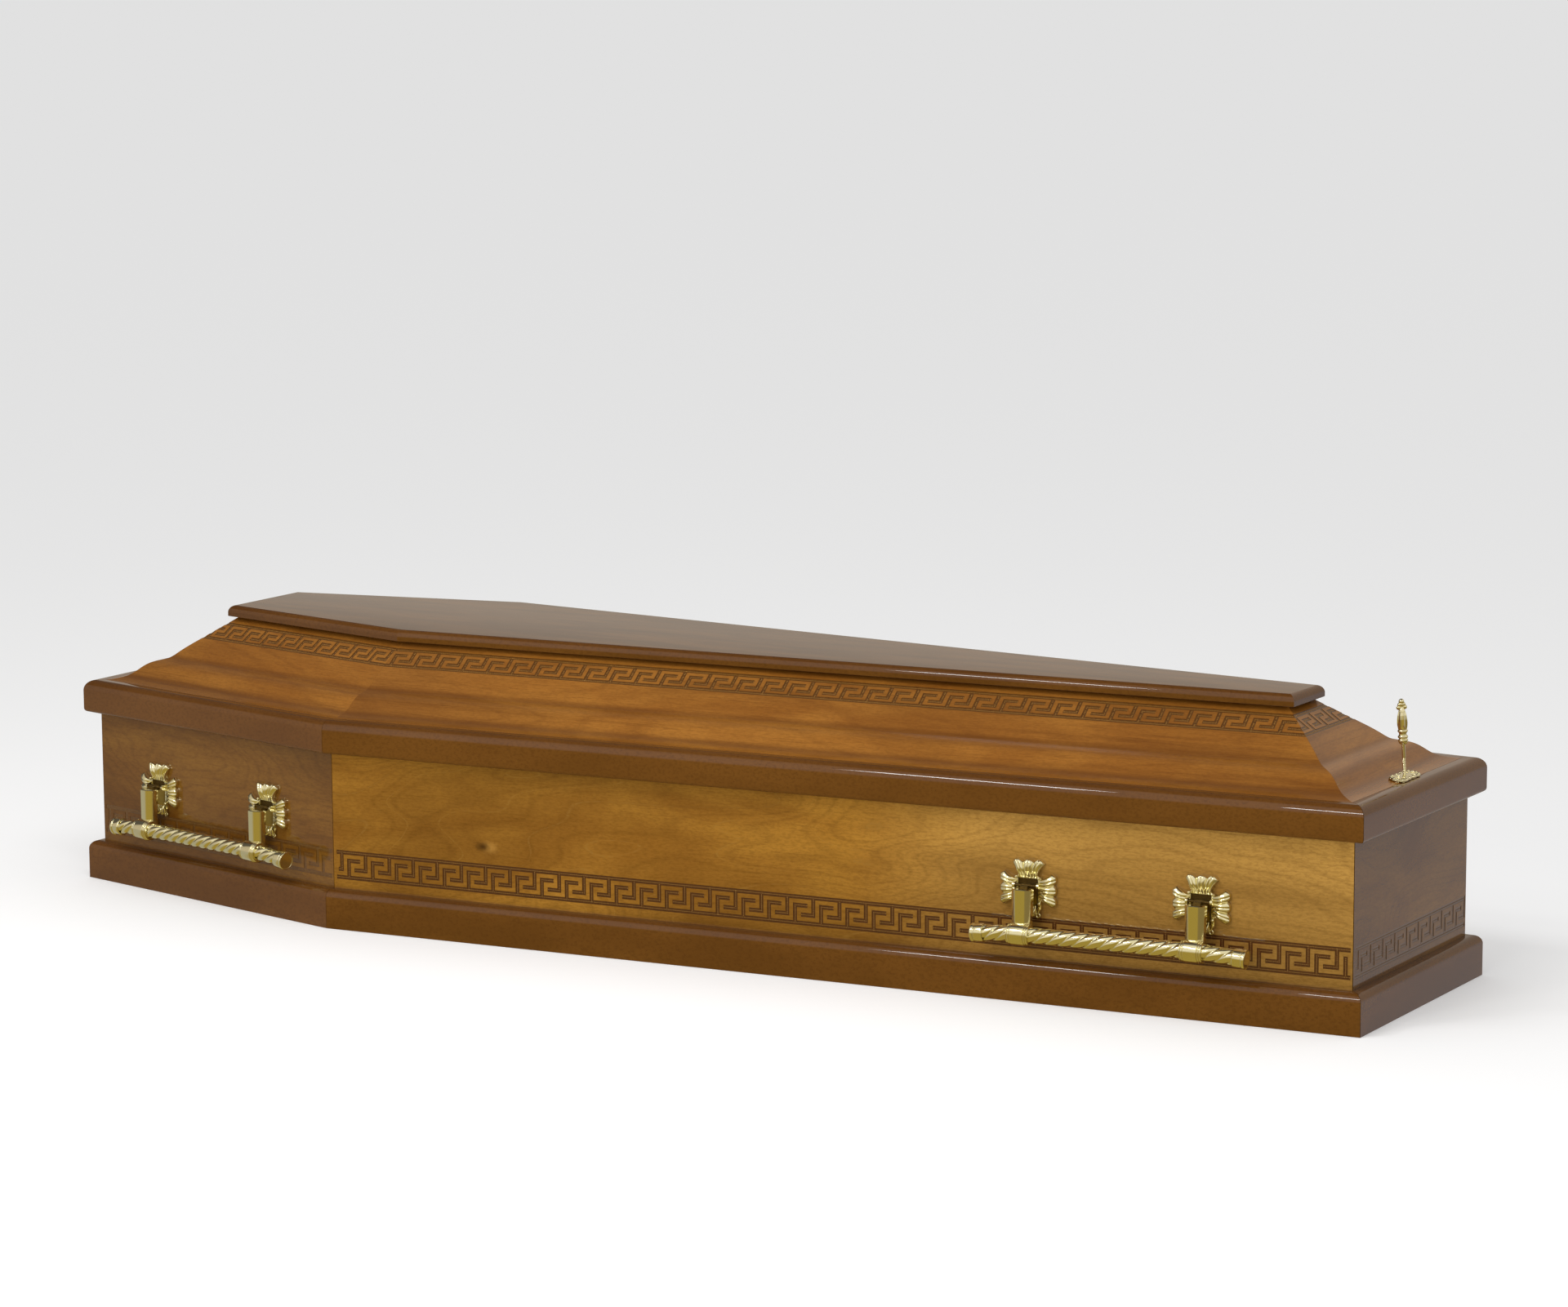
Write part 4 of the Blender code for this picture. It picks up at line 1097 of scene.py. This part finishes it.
# Studio
def make_camera():
    forward = Vector((math.sin(CAMERA_TURN) * math.cos(CAMERA_DIP),
                      math.cos(CAMERA_TURN) * math.cos(CAMERA_DIP), -math.sin(CAMERA_DIP)))
    level = Vector((math.cos(CAMERA_TURN), -math.sin(CAMERA_TURN), 0))
    upright = level.cross(forward)
    right = level * math.cos(CAMERA_ROLL) + upright * math.sin(CAMERA_ROLL)
    up = upright * math.cos(CAMERA_ROLL) - level * math.sin(CAMERA_ROLL)
    data = bpy.data.cameras.new("camera")
    data.lens = CAMERA_LENS
    data.sensor_width = 36.0
    data.sensor_fit = "HORIZONTAL"
    data.clip_start = 0.1
    data.clip_end = 4000.0
    camera = bpy.data.objects.new("camera", data)
    bpy.context.scene.collection.objects.link(camera)
    camera.matrix_world = Matrix.Translation(CAMERA_PLACE) @ Matrix((right, up, -forward)).transposed().to_4x4()
    bpy.context.scene.camera = camera


def area_light(name, place, target, width, height, radiance, colour=(1, 1, 1), mirrored=True):
    """A soft box that the camera doesn't see, as bright as told wherever it mirrors."""
    data = bpy.data.lights.new(name, "AREA")
    data.shape = "RECTANGLE"
    data.size = width
    data.size_y = height
    data.energy = math.pi * width * height * radiance
    data.color = colour
    made = bpy.data.objects.new(name, data)
    made.visible_glossy = mirrored
    bpy.context.scene.collection.objects.link(made)
    made.location = place
    made.rotation_euler = (Vector(target) - Vector(place)).to_track_quat("-Z", "Y").to_euler()
    made.visible_camera = False


def make_floor():
    """White paper sweep that glows a little, so it stays pale to its far edge."""
    bm = bmesh.new()
    bmesh.ops.create_grid(bm, x_segments=1, y_segments=1, size=1500.0, matrix=Matrix.Translation((0, 0, -0.0005)))
    floor = bpy.data.objects.new("studio_floor", finish_mesh("studio_floor", bm))
    bpy.context.scene.collection.objects.link(floor)
    paper, _, shader = new_material("white_paper")
    shader.inputs["Base Color"].default_value = linear("#EFEFEF")
    shader.inputs["Roughness"].default_value = 0.95
    shader.inputs["Specular IOR Level"].default_value = 0.0
    shader.inputs["Emission Color"].default_value = (1, 1, 1, 1)
    shader.inputs["Emission Strength"].default_value = 0.20
    floor.data.materials.append(paper)
    floor.visible_glossy = False


def make_world():
    """Even white light for the surfaces; what mirrors in them is a dim room: warm floor in front, pale
    wall behind, dark ceiling."""
    world = bpy.data.worlds.new("studio")
    world.use_nodes = True
    bpy.context.scene.world = world
    tree = world.node_tree
    back = tree.nodes["Background"]
    place = put(tree, "TexCoord").outputs["Generated"]
    parts = put(tree, "SeparateXYZ", {"Vector": place}).outputs
    away = put(tree, "Math", {0: parts["Y"], 1: parts["X"]}, operation="SUBTRACT").outputs["Value"]
    behind = spread(tree, away, -0.25, 0.3)
    flat_away = put(tree, "Math", {0: away, 1: parts["Z"]}, operation="ADD").outputs["Value"]
    ground = blend_colours(tree, spread(tree, parts["X"], 0.5, 0.85), (0.38, 0.285, 0.07, 1), (0.24, 0.185, 0.08, 1))
    far = blend_colours(tree, spread(tree, parts["X"], -0.3, 0.3), (0.43, 0.41, 0.34, 1), (0.55, 0.55, 0.56, 1))
    low = blend_colours(tree, spread(tree, flat_away, -0.2, 0.1), ground, far)
    wall = blend_colours(tree, behind, (0.88, 0.83, 0.75, 1), (0.57, 0.50, 0.42, 1))
    soft = blend_colours(tree, spread(tree, parts["Z"], -0.08, 0.26), low, wall)
    hard = blend_colours(tree, spread(tree, parts["Z"], -0.03, 0.03), low, wall)
    room = blend_colours(tree, behind, soft, hard)
    dark_ceiling = (0.10, 0.09, 0.085, 1)
    in_front = blend_colours(tree, spread(tree, parts["Z"], 0.88, 0.98), room, dark_ceiling)
    lean = put(tree, "Math", {0: parts["X"], 1: -0.6, 2: parts["Z"]}, operation="MULTIPLY_ADD").outputs["Value"]
    at_back = blend_colours(tree, spread(tree, lean, 0.50, 0.72), room, dark_ceiling)
    room = blend_colours(tree, spread(tree, parts["Y"], -0.30, -0.12), in_front, at_back)
    mirrored = put(tree, "LightPath").outputs["Is Glossy Ray"]
    tone = blend_colours(tree, mirrored, (0.64, 0.64, 0.64, 1), room)
    tree.links.new(tone, back.inputs["Color"])


def make_studio():
    """White floor, a dim room, a broad soft box low in front, one overhead and two bright strips."""
    bpy.context.scene.view_settings.view_transform = "Standard"
    make_floor()
    make_world()
    middle = (0.4, -0.25, 0.25)
    area_light("low_front_soft_box", (0.12, -4.5, 1.2), (0.12, -0.25, 0.3), 2.95, 1.8, 3.3, (1.0, 0.92, 0.83),
               False)
    area_light("overhead_soft_box", (0.3, -1.5, 2.4), (0.3, 0.0, 0.2), 2.0, 0.6, 5.0, mirrored=False)
    area_light("left_strip", (-0.55, -2.3, 2.33), middle, 0.50, 0.28, 22.0)
    area_light("right_strip", (0.26, -2.6, 1.97), middle, 0.30, 0.24, 22.0)


make_camera()
make_walls()
make_slopes()
make_mouldings()
make_top_board()
finish_floor_board()
make_handles()
make_screw()
make_studio()
